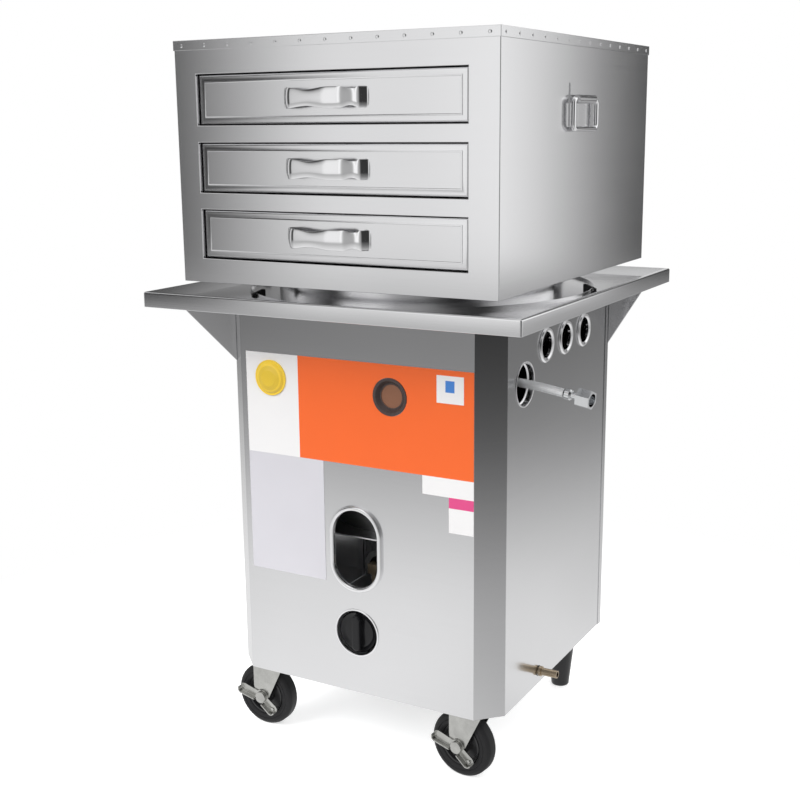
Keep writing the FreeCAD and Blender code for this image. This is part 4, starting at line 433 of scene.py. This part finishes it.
def soften(node, width, material, segments):
    """A copy of a CAD node with its edges rounded, which stands for the node."""
    piece = merged_copy(node, node + "_finished")
    piece.data.materials.append(material)
    bevel = piece.modifiers.new("edge", "BEVEL")
    bevel.width = width
    bevel.segments = segments
    bevel.limit_method = "ANGLE"
    bevel.angle_limit = FOLD
    bevel.use_clamp_overlap = True
    bevel.harden_normals = False
    sharpen(piece)
    return keep(piece, body_of(node), slot_of(node), node)


def body_of(node):
    """The body that a CAD node moves with."""
    return next(body for body, nodes in frame["record"]["behaviour"]["bodies"].items() if node in nodes)


def slot_of(node):
    """The material slot that a CAD node is recorded with."""
    return next(row["material_slot"] for row in frame["record"]["subparts"] if row["node"] == node)


def paint(material, *nodes):
    """Give CAD nodes that are shown as they are a finish."""
    for node in nodes:
        piece = frame["nodes"][node]
        piece.data.materials.clear()
        piece.data.materials.append(material)


# ---------------------------------------------------------------- operators

class SteamerPiece:
    """What the operators share."""
    bl_options = {"REGISTER", "UNDO"}

    @property
    def colours(self):
        return bpy.context.scene.steamer_colours

    @property
    def sizes(self):
        return bpy.context.scene.steamer_sizes

    @property
    def studio(self):
        return bpy.context.scene.steamer_studio

    @staticmethod
    def edged(nodes, width, material, segments=2):
        for node in nodes:
            soften(node, width, material, segments)


class STEAMER_OT_stage(SteamerPiece, bpy.types.Operator):
    """Make the camera, floor, lamps and the tent that the metal reflects"""
    bl_idname = "steamer.stage"
    bl_label = "Studio"

    def execute(self, context):
        self.make_camera(context.scene)
        self.make_floor()
        self.make_tent()
        self.make_lamps(context.scene)
        self.make_world(context.scene)
        return {"FINISHED"}

    def make_camera(self, scene):
        """A camera turned by yaw about Z, tilted down by pitch and rolled, at its set place."""
        studio = self.studio
        data = bpy.data.cameras.new("camera")
        data.sensor_width = 36.0
        data.lens = studio.lens
        camera = bpy.data.objects.new("camera", data)
        scene.collection.objects.link(camera)
        scene.camera = camera
        turn = Matrix.Rotation(studio.yaw, 3, "Z") @ Matrix.Rotation(math.pi / 2 - studio.pitch, 3, "X")
        camera.matrix_world = Matrix.Translation(studio.place) @ (turn @ Matrix.Rotation(studio.roll, 3, "Z")).to_4x4()

    # The floor near the steamer is pale paper that keeps a shadow. From NEAR to FAR it turns to plain white.
    PAPER, GLOW = 0.82, 0.50
    NEAR, FAR = 0.45, 1.1

    def make_floor(self):
        """A pale floor that white takes over further out, and that metal doesn't reflect."""
        mesh = bpy.data.meshes.new("floor")
        size = 40.0
        mesh.from_pydata([(-size, -size, 0), (size, -size, 0), (size, size, 0), (-size, size, 0)], [], [(0, 1, 2, 3)])
        floor = bpy.data.objects.new("floor", mesh)
        bpy.context.scene.collection.objects.link(floor)
        material = bpy.data.materials.new("floor")
        material.use_nodes = True
        tree = Tree(material.node_tree)
        material.node_tree.nodes.clear()
        seen = tree.seen()
        away = tree.add("ShaderNodeVectorMath", {0: tree.add("ShaderNodeTexCoord").outputs["Object"]},
                        operation="LENGTH").outputs["Value"]
        paper = tree.add("ShaderNodeBsdfDiffuse", {"Color": rgba((self.PAPER,) * 3)})
        level = tree.math("MULTIPLY", seen, self.GLOW)
        glow = tree.add("ShaderNodeEmission", {"Color": (1, 1, 1, 1), "Strength": level})
        white = tree.add("ShaderNodeEmission", {"Color": (1, 1, 1, 1), "Strength": seen})
        near = tree.add("ShaderNodeAddShader", {0: paper.outputs[0], 1: glow.outputs[0]})
        both = tree.add("ShaderNodeMixShader", {0: tree.spread(away, self.NEAR, self.FAR), 1: near.outputs[0],
                                                2: white.outputs[0]})
        tree.add("ShaderNodeOutputMaterial", {"Surface": both.outputs[0]})
        mesh.materials.append(material)
        floor.visible_glossy = False

    # Azimuth in degrees from the front, then the tent's level near on the floor, at the wall's foot, low and high
    LEVELS = ((-180, 0.80, 0.55, 0.60, 0.75), (-150, 0.80, 0.52, 0.50, 0.60), (-135, 0.90, 0.60, 0.28, 0.12),
              (-119, 0.95, 0.62, 0.16, 0.08), (-105, 0.95, 0.65, 0.32, 0.30), (-80, 0.90, 0.62, 0.55, 0.80),
              (-62, 0.90, 0.52, 0.36, 0.24), (-48, 0.93, 0.58, 0.38, 0.02), (-40, 0.96, 0.64, 0.42, 0.06),
              (-35, 0.98, 0.66, 0.45, 0.46), (-29, 0.98, 0.66, 0.46, 0.94), (-22, 0.98, 0.66, 0.46, 0.86),
              (-15, 0.98, 0.66, 0.46, 1.02), (-4, 0.96, 0.65, 0.46, 0.96), (10, 0.90, 0.60, 0.42, 0.50),
              (30, 0.85, 0.52, 0.38, 0.36), (44, 0.72, 0.34, 0.22, 0.14), (50, 0.66, 0.28, 0.16, 0.05),
              (60, 0.60, 0.18, 0.07, 0.03), (70, 0.60, 0.20, 0.09, 0.04), (84, 0.75, 0.48, 0.42, 0.55),
              (110, 0.86, 0.64, 0.62, 0.92), (136, 0.88, 0.54, 0.46, 1.12), (144, 0.86, 0.42, 0.34, 1.08),
              (149, 0.84, 0.40, 0.34, 0.84), (152, 0.82, 0.38, 0.32, 0.44), (156, 0.82, 0.38, 0.32, 0.04),
              (168, 0.80, 0.44, 0.34, 0.03), (174, 0.80, 0.50, 0.44, 0.45), (180, 0.80, 0.55, 0.60, 0.75))

    CEILING = 0.85  # Level above the high wall
    TOP = 3.4       # Height of the ceiling, in metres

    def make_tent(self):
        """A closed round tent that only reflections see: floor, wall and ceiling along one path, carried round Z."""
        radius, top = self.studio.tent, self.TOP
        path = np.array([(0.02, 0.004), (0.5, 0.004), (0.9, 0.004), (1.4, 0.004), (1.9, 0.004), (radius, 0.004),
                         (radius, 0.10), (radius, 0.22), (radius, 0.34), (radius, 0.42), (radius, 0.48),
                         (radius, 0.56), (radius, 0.9), (radius, 1.6), (radius, 2.6), (radius, top), (0.02, top)])
        # Where each point of the path lies between the columns of LEVELS
        share = np.array([0, 0.15, 0.35, 0.62, 0.88, 1, 1.25, 1.5, 1.8, 2, 2.4, 3, 3, 3, 3, 3.2, 3.4])
        turns = 360
        azimuth = np.linspace(-180, 180, turns, endpoint=False)
        angle = np.radians(azimuth)
        points = np.empty((len(path), turns, 3))
        points[:, :, 0] = path[:, None, 0] * np.sin(angle)
        points[:, :, 1] = -path[:, None, 0] * np.cos(angle)
        points[:, :, 2] = path[:, None, 1]
        mesh = bpy.data.meshes.new("tent")
        mesh.from_pydata(points.reshape(-1, 3), [], grid_faces(len(path), turns))
        glow = self.tent_glow(azimuth, share)
        mesh.attributes.new("glow", "FLOAT", "POINT").data.foreach_set("value", glow.astype(np.float32).ravel())
        tent = bpy.data.objects.new("tent", mesh)
        bpy.context.scene.collection.objects.link(tent)
        material = bpy.data.materials.new("tent")
        material.use_nodes = True
        tree = Tree(material.node_tree)
        material.node_tree.nodes.clear()
        level = tree.add("ShaderNodeAttribute", attribute_name="glow").outputs["Fac"]
        shine = tree.add("ShaderNodeEmission", {"Color": (1, 1, 1, 1), "Strength": level})
        tree.add("ShaderNodeOutputMaterial", {"Surface": shine.outputs[0]})
        mesh.materials.append(material)
        tent.visible_camera = False
        tent.visible_diffuse = False
        tent.visible_shadow = False
        tent.visible_transmission = False

    @classmethod
    def tent_glow(cls, azimuth, share):
        """Level of each point: LEVELS over azimuth, and share from 0 near on the floor to 3 high up and 4 above."""
        table = np.array(cls.LEVELS)
        columns = np.stack([np.interp(azimuth, table[:, 0], table[:, k]) for k in range(1, 5)])
        columns = np.concatenate([columns, np.full((1, len(azimuth)), cls.CEILING)])
        low = np.clip(np.floor(share).astype(int), 0, 3)
        part = np.clip(share - low, 0, 1)[:, None]
        return columns[low] * (1 - part) + columns[low + 1] * part

    # Name, place, size and share of the key's power of each lamp, and the place that they are turned to
    LAMPS = (("key", (-1.6, -2.6, 2.6), 2.2, 1.0), ("fill", (2.8, -1.2, 1.9), 2.4, 0.45),
             ("back", (-0.6, 2.8, 2.6), 2.4, 0.5))
    LIT = (0, 0, 0.6)

    def make_lamps(self, scene):
        """Soft lamps that light paint and plastic. Metal reflects the tent in their place."""
        for name, place, size, share in self.LAMPS:
            data = bpy.data.lights.new(name, "AREA")
            data.shape = "SQUARE"
            data.size = size
            data.energy = self.studio.key * share
            lamp = bpy.data.objects.new(name, data)
            scene.collection.objects.link(lamp)
            lamp.location = place
            lamp.rotation_mode = "QUATERNION"
            lamp.rotation_quaternion = (Vector(self.LIT) - Vector(place)).to_track_quat("-Z", "Y")
            lamp.visible_glossy = False

    def make_world(self, scene):
        """White where it is seen, and the sky's own strength where it only lights."""
        world = bpy.data.worlds.new("studio")
        scene.world = world
        world.use_nodes = True
        tree = Tree(world.node_tree)
        world.node_tree.nodes.clear()
        seen = tree.seen()
        level = tree.spread(seen, 0.0, 1.0, self.studio.sky, 1.0, "LINEAR")
        back = tree.add("ShaderNodeBackground", {"Color": (1, 1, 1, 1), "Strength": level})
        tree.add("ShaderNodeOutputWorld", {"Surface": back.outputs[0]})
        scene.view_settings.view_transform = "Standard"


class STEAMER_OT_casing(SteamerPiece, bpy.types.Operator):
    """Finish the cabinet, table, pan and steam box sheets"""
    bl_idname = "steamer.casing"
    bl_label = "Casing"

    FADE_UP = 0.14                         # Height above the cabinet's lower edge where the painted shade starts
    CABINET_EDGE, DRAWER_EDGE = 0.4, 0.3   # Shares of the sheet edges' rounding

    def execute(self, context):
        colours, sizes = self.colours, self.sizes
        table_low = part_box("table_top")[0].z
        floor_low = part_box("cabinet_front")[0].z
        steel = sheet_steel("brushed_steel", colours.steel)
        # The cabinet's sheets get a painted shade, darker towards the table's edge where its shadow falls
        painted_shade_steel = sheet_steel("cabinet_steel_painted_shade", colours.steel, shade=colours.steel_painted_shade,
                             fade=(floor_low + self.FADE_UP, table_low))
        inside = sheet_steel("inner_steel", colours.steel, roughness=0.35, lines=0.1)
        self.edged(("cabinet_front", "cabinet_side_right", "cabinet_side_left", "cabinet_back"),
                   sizes.edge * self.CABINET_EDGE, painted_shade_steel)
        self.edged(("table_gussets", "box_front", "box_walls", "box_lid"), sizes.edge, steel)
        self.edged(("table_top",), sizes.edge, steel, segments=3)
        self.edged(("drawer_front_1", "drawer_front_2", "drawer_front_3"), sizes.edge * self.DRAWER_EDGE,
                   steel)
        paint(steel, "water_pan", "box_floor", "handle_plates", "lid_rivets")
        paint(inside, "furnace_shelf", "furnace_shell", "drawer_runners", "drawer_tray_1", "drawer_tray_2",
              "drawer_tray_3")
        galvanised = speckled("galvanised", (0.5, 0.51, 0.52), 0.4, metallic=1.0, broad=18.0, amount=0.35)
        paint(galvanised, "base_plate", "frame_posts", "tap_bracket", "burner_bracket")
        return {"FINISHED"}


class STEAMER_OT_bright(SteamerPiece, bpy.types.Operator):
    """Finish the rings, pulls and side handles"""
    bl_idname = "steamer.bright"
    bl_label = "Bright parts"

    # Strap's middle line from its left foot, in metres: along the drawer, and out from it
    STRAP = ((0.0000, 0.0010), (0.0012, 0.0010), (0.0125, 0.0160), (0.0180, 0.0186), (0.0740, 0.0200),
             (0.1000, 0.0198), (0.1165, 0.0112), (0.1235, 0.0108), (0.1332, 0.0006), (0.1345, 0.0006))
    BEND = 0.0040                                # Reach of its rounded corners
    WAISTS = ((0.012, 0.080), (0.101, 0.125))    # Runs along the drawer where it narrows
    WAIST = 0.0030                               # Narrowing on each side, in a waist's middle
    HALF_THICK, CROWN = 0.0009, 0.0016           # Half its thickness, and the drop of its face to its edges
    OVAL = 0.55                                  # Power that flattens the oval section
    BEAD = 0.0007                                # Height of the drawer front's raised line, which its box takes in
    SUNK = 0.0004                                # How far a foot may go into the drawer's face
    RING_EDGE = 0.0002                           # Rounding of rings and handles

    def execute(self, context):
        bright = sheet_steel("bright_steel", self.colours.bright, roughness=0.12, lines=0.02, clouds=0.03, bump=0.03)
        for number in (1, 2, 3):
            self.make_pull(number, bright)
        self.edged(("front_rings", "vent_rings", "side_handle_left", "side_handle_right"), self.RING_EDGE, bright)
        self.make_collar(bright)
        return {"FINISHED"}

    def make_pull(self, number, material):
        """A strap: a flat oval section carried along a bent line. Half its height is 14 mm less two waists, each
        a cosine bump over its own run, and its face is crowned by a parabola across the strap."""
        node = f"drawer_pull_{number}"
        low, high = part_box(node)
        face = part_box(f"drawer_front_{number}")[0].y + self.BEAD
        line, _ = resampled(rounded_profile(self.STRAP, self.BEND, 7), 150)
        along = line[:, 0]
        tangent = np.gradient(line, axis=0)
        tangent /= np.linalg.norm(tangent, axis=1)[:, None]
        out = np.stack([-tangent[:, 1], tangent[:, 0]], -1)
        half = (high.z - low.z) / 2
        for start, end in self.WAISTS:
            half = half - self.WAIST * self.bump(along, start, end)
        angle = np.linspace(0, 2 * math.pi, 40, endpoint=False)
        across = np.sign(np.cos(angle)) * np.abs(np.cos(angle)) ** self.OVAL
        lift = self.HALF_THICK * np.sin(angle) - self.CROWN * across ** 2
        points = np.empty((len(line), len(angle), 3))
        points[:, :, 0] = low.x + along[:, None] + out[:, None, 0] * lift[None]
        points[:, :, 1] = face - (line[:, None, 1] + out[:, None, 1] * lift[None])
        points[:, :, 2] = (low.z + high.z) / 2 + half[:, None] * across[None]
        points[:, :, 1] = np.clip(points[:, :, 1], low.y, face + self.SUNK)
        pull = grid_mesh(node + "_strap", capped(points), material)
        sharpen(pull, 50)
        keep(pull, body_of(node), slot_of(node), node)

    @staticmethod
    def bump(along, start, end):
        """One turn of a cosine between two places: 0 outside them and 1 in the middle."""
        return 0.5 - 0.5 * np.cos(2 * math.pi * np.clip((along - start) / (end - start), 0, 1))

    HOSE_HOLE = (-0.124, 0.604)  # Y and Z of the hose hole's middle
    # Collar's closed section: radius, and height out from the side sheet
    COLLAR = ((0.0333, -0.0004), (0.0340, 0.0012), (0.0318, 0.0012), (0.0316, -0.0080), (0.0290, -0.0090),
              (0.0290, -0.0104), (0.0330, -0.0100), (0.0333, -0.0004))
    COLLAR_BEND = 0.0006

    def make_collar(self, material):
        """The hose hole's drawn collar: a rounded lip carried round the hole's axis, open at its middle."""
        profile = rounded_profile(self.COLLAR, self.COLLAR_BEND, 4)
        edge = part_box("cabinet_side_right")[1].x
        collar = lathe("hose_collar", profile, (edge, *self.HOSE_HOLE), (1, 0, 0), self.sizes.turns, material)
        sharpen(collar, 40)
        keep(collar, "stand", "chrome")


class STEAMER_OT_panels(SteamerPiece, bpy.types.Operator):
    """Finish the bare adhesive panels, the disc, the port and the knob"""
    bl_idname = "steamer.panels"
    bl_label = "Front panels"

    # Fields of plain colour on the small tags, in X and Z
    HEAD = {"Left": 0.160, "Right": 0.200, "Low": 0.433, "High": 0.449}
    SQUARE = {"Left": 0.155, "Right": 0.1695, "Low": 0.603, "High": 0.620}
    DISC_RADIUS, LENS_RADIUS = 0.019, 0.0175    # Yellow disc's inner circle and the port's lens
    DISC_SHADE = 0.84                           # Inner circle's tone against the disc's

    def execute(self, context):
        colours = self.colours
        head, square = ("patch", self.HEAD, colours.pink), ("patch", self.SQUARE, colours.blue)
        for node, tint, rough, fields in (("orange_panel", colours.orange, 0.35, ()),
                                          ("white_panel", colours.white, 0.4, ()),
                                          ("bare_card", colours.card, 0.45, ()),
                                          ("small_tags", colours.white, 0.4, (head, square))):
            paint(speckled(node + "_film", tint, rough, fine=300.0, broad=9.0, amount=0.08, bump=0.02,
                           fields=fields, Coat_Weight=0.15), node)
        low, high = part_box("yellow_disc")
        middle = (low + high) / 2
        inner = ("disc", {"Centre": (middle.x, 0, middle.z), "Radius": self.DISC_RADIUS},
                 tuple(self.DISC_SHADE * part for part in colours.yellow))
        paint(speckled("yellow_plastic", colours.yellow, 0.3, broad=20.0, amount=0.1, bump=0.03, fields=(inner,)),
              "yellow_disc")
        low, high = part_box("view_port")
        middle = (low + high) / 2
        glass = ("disc", {"Centre": (middle.x, 0, middle.z), "Radius": self.LENS_RADIUS}, colours.lens)
        paint(speckled("port_plastic", colours.port_rim, 0.3, fields=(glass,)), "view_port")
        knob = speckled("knob_plastic", colours.black, 0.16, Specular_IOR_Level=0.35, amount=0.1, bump=0.02)
        paint(knob, "gas_knob")
        return {"FINISHED"}


class STEAMER_OT_gas(SteamerPiece, bpy.types.Operator):
    """Finish the burner, taps and pipes"""
    bl_idname = "steamer.gas"
    bl_label = "Gas and water parts"

    def execute(self, context):
        colours = self.colours
        brass = speckled("dull_brass", colours.brass, 0.28, metallic=1.0, broad=60.0, amount=0.25)
        iron = speckled("cast_iron", colours.iron, 0.6, fine=700.0, amount=0.4, bump=0.5, distance=0.0005)
        lining = speckled("lining", colours.lining, 0.9, fine=400.0, amount=0.2, bump=0.6, distance=0.001)
        paint(brass, "gas_valve", "gas_inlet_pipe", "water_feed_valve")
        paint(speckled("plated_brass", colours.plating, 0.06, metallic=1.0, broad=90.0, amount=0.12, bump=0.05),
              "hose_coupling")
        paint(iron, "burner_head", "mixer_tube")
        paint(lining, "furnace_lining")
        return {"FINISHED"}


class STEAMER_OT_wheels(SteamerPiece, bpy.types.Operator):
    """Finish the casters and feet"""
    bl_idname = "steamer.wheels"
    bl_label = "Casters and feet"

    PLATE_EDGE, CLIP_EDGE, FOOT_EDGE = 0.0004, 0.0008, 0.002    # Rounding of caster sheet, pan clips and feet

    def execute(self, context):
        colours = self.colours
        zinc = speckled("zinc_plate", colours.zinc, 0.22, metallic=1.0, fine=500.0, broad=70.0, amount=0.45, bump=0.15)
        rubber = speckled("rubber", colours.rubber, 0.5, amount=0.5, bump=0.2, Specular_IOR_Level=0.3)
        self.edged(("caster_fork_left", "caster_fork_right", "caster_brake_left", "caster_brake_right",
                    "caster_plates"), self.PLATE_EDGE, zinc)
        paint(zinc, "caster_screws")
        self.edged(("pan_clips",), self.CLIP_EDGE, rubber)
        for side in ("left", "right"):
            self.make_tyre(side, rubber)
        paint(speckled("hub_black", colours.rubber, 0.35, amount=0.2), "caster_hub_left", "caster_hub_right")
        self.edged(("rear_feet",), self.FOOT_EDGE, speckled("feet_black", colours.black, 0.3, amount=0.2, bump=0.05))
        return {"FINISHED"}

    # Middle of each wheel and the way of its axle
    AXLES = {"left": ((-0.194, -0.186, 0.052), (0, -1, 0)),
             "right": ((0.1681, -0.1844, 0.052), (-0.1219, -0.9925, 0))}

    def make_tyre(self, side, material):
        """A turned tyre: its section is flat on the tread and round at the shoulders, with a shallow groove in each
        wall."""
        radius, half, bend, steps = 0.052, 0.013, 0.0012, 128
        wall = [(0.0335, half - 0.0030), (0.0350, half - 0.0012), (0.0400, half - 0.0008), (0.0412, half - 0.0018),
                (0.0424, half - 0.0006), (0.0470, half - 0.0010), (radius - 0.0012, half - 0.0040),
                (radius, half - 0.0065)]
        profile = [(reach, -height) for reach, height in wall] + [(reach, height) for reach, height in wall[::-1]]
        profile = rounded_profile(profile + [profile[0]], bend, 4)
        middle, axis = self.AXLES[side]
        node = f"caster_tyre_{side}"
        tyre = lathe(node + "_turned", profile, middle, axis, steps, material)
        sharpen(tyre, 40)
        keep(tyre, body_of(node), slot_of(node), node)


class STEAMER_OT_hose(SteamerPiece, bpy.types.Operator):
    """Make the braided water hose"""
    bl_idname = "steamer.hose"
    bl_label = "Water hose"

    # Control points of the hose's line, from the feed valve to the coupling
    ROUTE = ((0.152, -0.124, 0.608), (0.184, -0.124, 0.608), (0.222, -0.1262, 0.6072), (0.262, -0.130, 0.6042),
             (0.301, -0.1348, 0.5994))

    def execute(self, context):
        data = bpy.data.curves.new("water_hose_braided", "CURVE")
        data.dimensions = "3D"
        spline = data.splines.new("NURBS")
        spline.points.add(len(self.ROUTE) - 1)
        for point, place in zip(spline.points, self.ROUTE):
            point.co = (*place, 1.0)
        spline.order_u = 3
        spline.use_endpoint_u = True
        data.resolution_u = 24
        guide = bpy.data.objects.new("hose_line", data)
        line = bpy.data.meshes.new_from_object(guide)
        followed = np.array([tuple(vertex.co) for vertex in line.vertices])
        bpy.data.objects.remove(guide)
        points, run = self.braid(followed)
        braid = speckled("hose_braid", (0.86, 0.87, 0.88), 0.20, metallic=0.7, fine=1500.0, broad=260.0, amount=0.3,
                         bump=0.2)
        hose = grid_mesh("water_hose_braided", capped(points), braid)
        keep(hose, "stand", "hose_braid", "water_hose")
        return {"FINISHED"}

    def braid(self, followed):
        """A tube whose radius is raised where either of two opposite sets of helical wires crosses: the height is
        the larger of two rectified sines of turn plus and minus run."""
        wires, pitch, steps, turns = 12, 0.060, 420, 96
        middle, run = resampled(followed, steps)
        tangent = np.gradient(middle, axis=0)
        tangent /= np.linalg.norm(tangent, axis=1)[:, None]
        side = np.cross(tangent, (0, 0, 1.0))
        side /= np.linalg.norm(side, axis=1)[:, None]
        up = np.cross(side, tangent)
        angle = np.linspace(0, 2 * math.pi, turns, endpoint=False)
        along = 2 * math.pi * run[:, None] / pitch * wires / 2
        height = np.maximum(np.abs(np.sin(wires / 2 * angle[None] + along)),
                            np.abs(np.sin(wires / 2 * angle[None] - along)))
        reach = (self.sizes.hose / 2 - self.sizes.braid * (1 - height))[:, :, None]
        ring = np.cos(angle)[None, :, None] * side[:, None] + np.sin(angle)[None, :, None] * up[:, None]
        return middle[:, None] + reach * ring, run


class STEAMER_PT_panel(bpy.types.Panel):
    """Buttons that build the steamer piece by piece"""
    bl_idname = "STEAMER_PT_panel"
    bl_label = "Steamer"
    bl_space_type = "VIEW_3D"
    bl_region_type = "UI"
    bl_category = "Steamer"

    def draw(self, context):
        for operator in OPERATORS:
            self.layout.operator(operator.bl_idname)
        for group in ("steamer_colours", "steamer_sizes", "steamer_studio"):
            settings = getattr(context.scene, group)
            for name in settings.bl_rna.properties.keys():
                if name not in {"rna_type", "name"}:
                    self.layout.prop(settings, name)


OPERATORS = (STEAMER_OT_stage, STEAMER_OT_hose, STEAMER_OT_casing, STEAMER_OT_bright, STEAMER_OT_panels,
             STEAMER_OT_gas, STEAMER_OT_wheels)
SETTINGS = (("steamer_colours", SteamerColours), ("steamer_sizes", SteamerSizes), ("steamer_studio", SteamerStudio))


def register():
    """Add the settings, operators and panel."""
    for _, group in SETTINGS:
        bpy.utils.register_class(group)
    for made in (*OPERATORS, STEAMER_PT_panel):
        bpy.utils.register_class(made)
    for name, group in SETTINGS:
        setattr(bpy.types.Scene, name, PointerProperty(type=group))


def unregister():
    """Take them away again, last first."""
    for name, _ in SETTINGS:
        delattr(bpy.types.Scene, name)
    for made in (STEAMER_PT_panel, *reversed(OPERATORS)):
        bpy.utils.unregister_class(made)
    for _, group in reversed(SETTINGS):
        bpy.utils.unregister_class(group)


def main():
    """Build everything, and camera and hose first."""
    register()
    for operator in OPERATORS:
        group, name = operator.bl_idname.split(".")
        getattr(getattr(bpy.ops, group), name)()


if __name__ == "__main__":
    main()
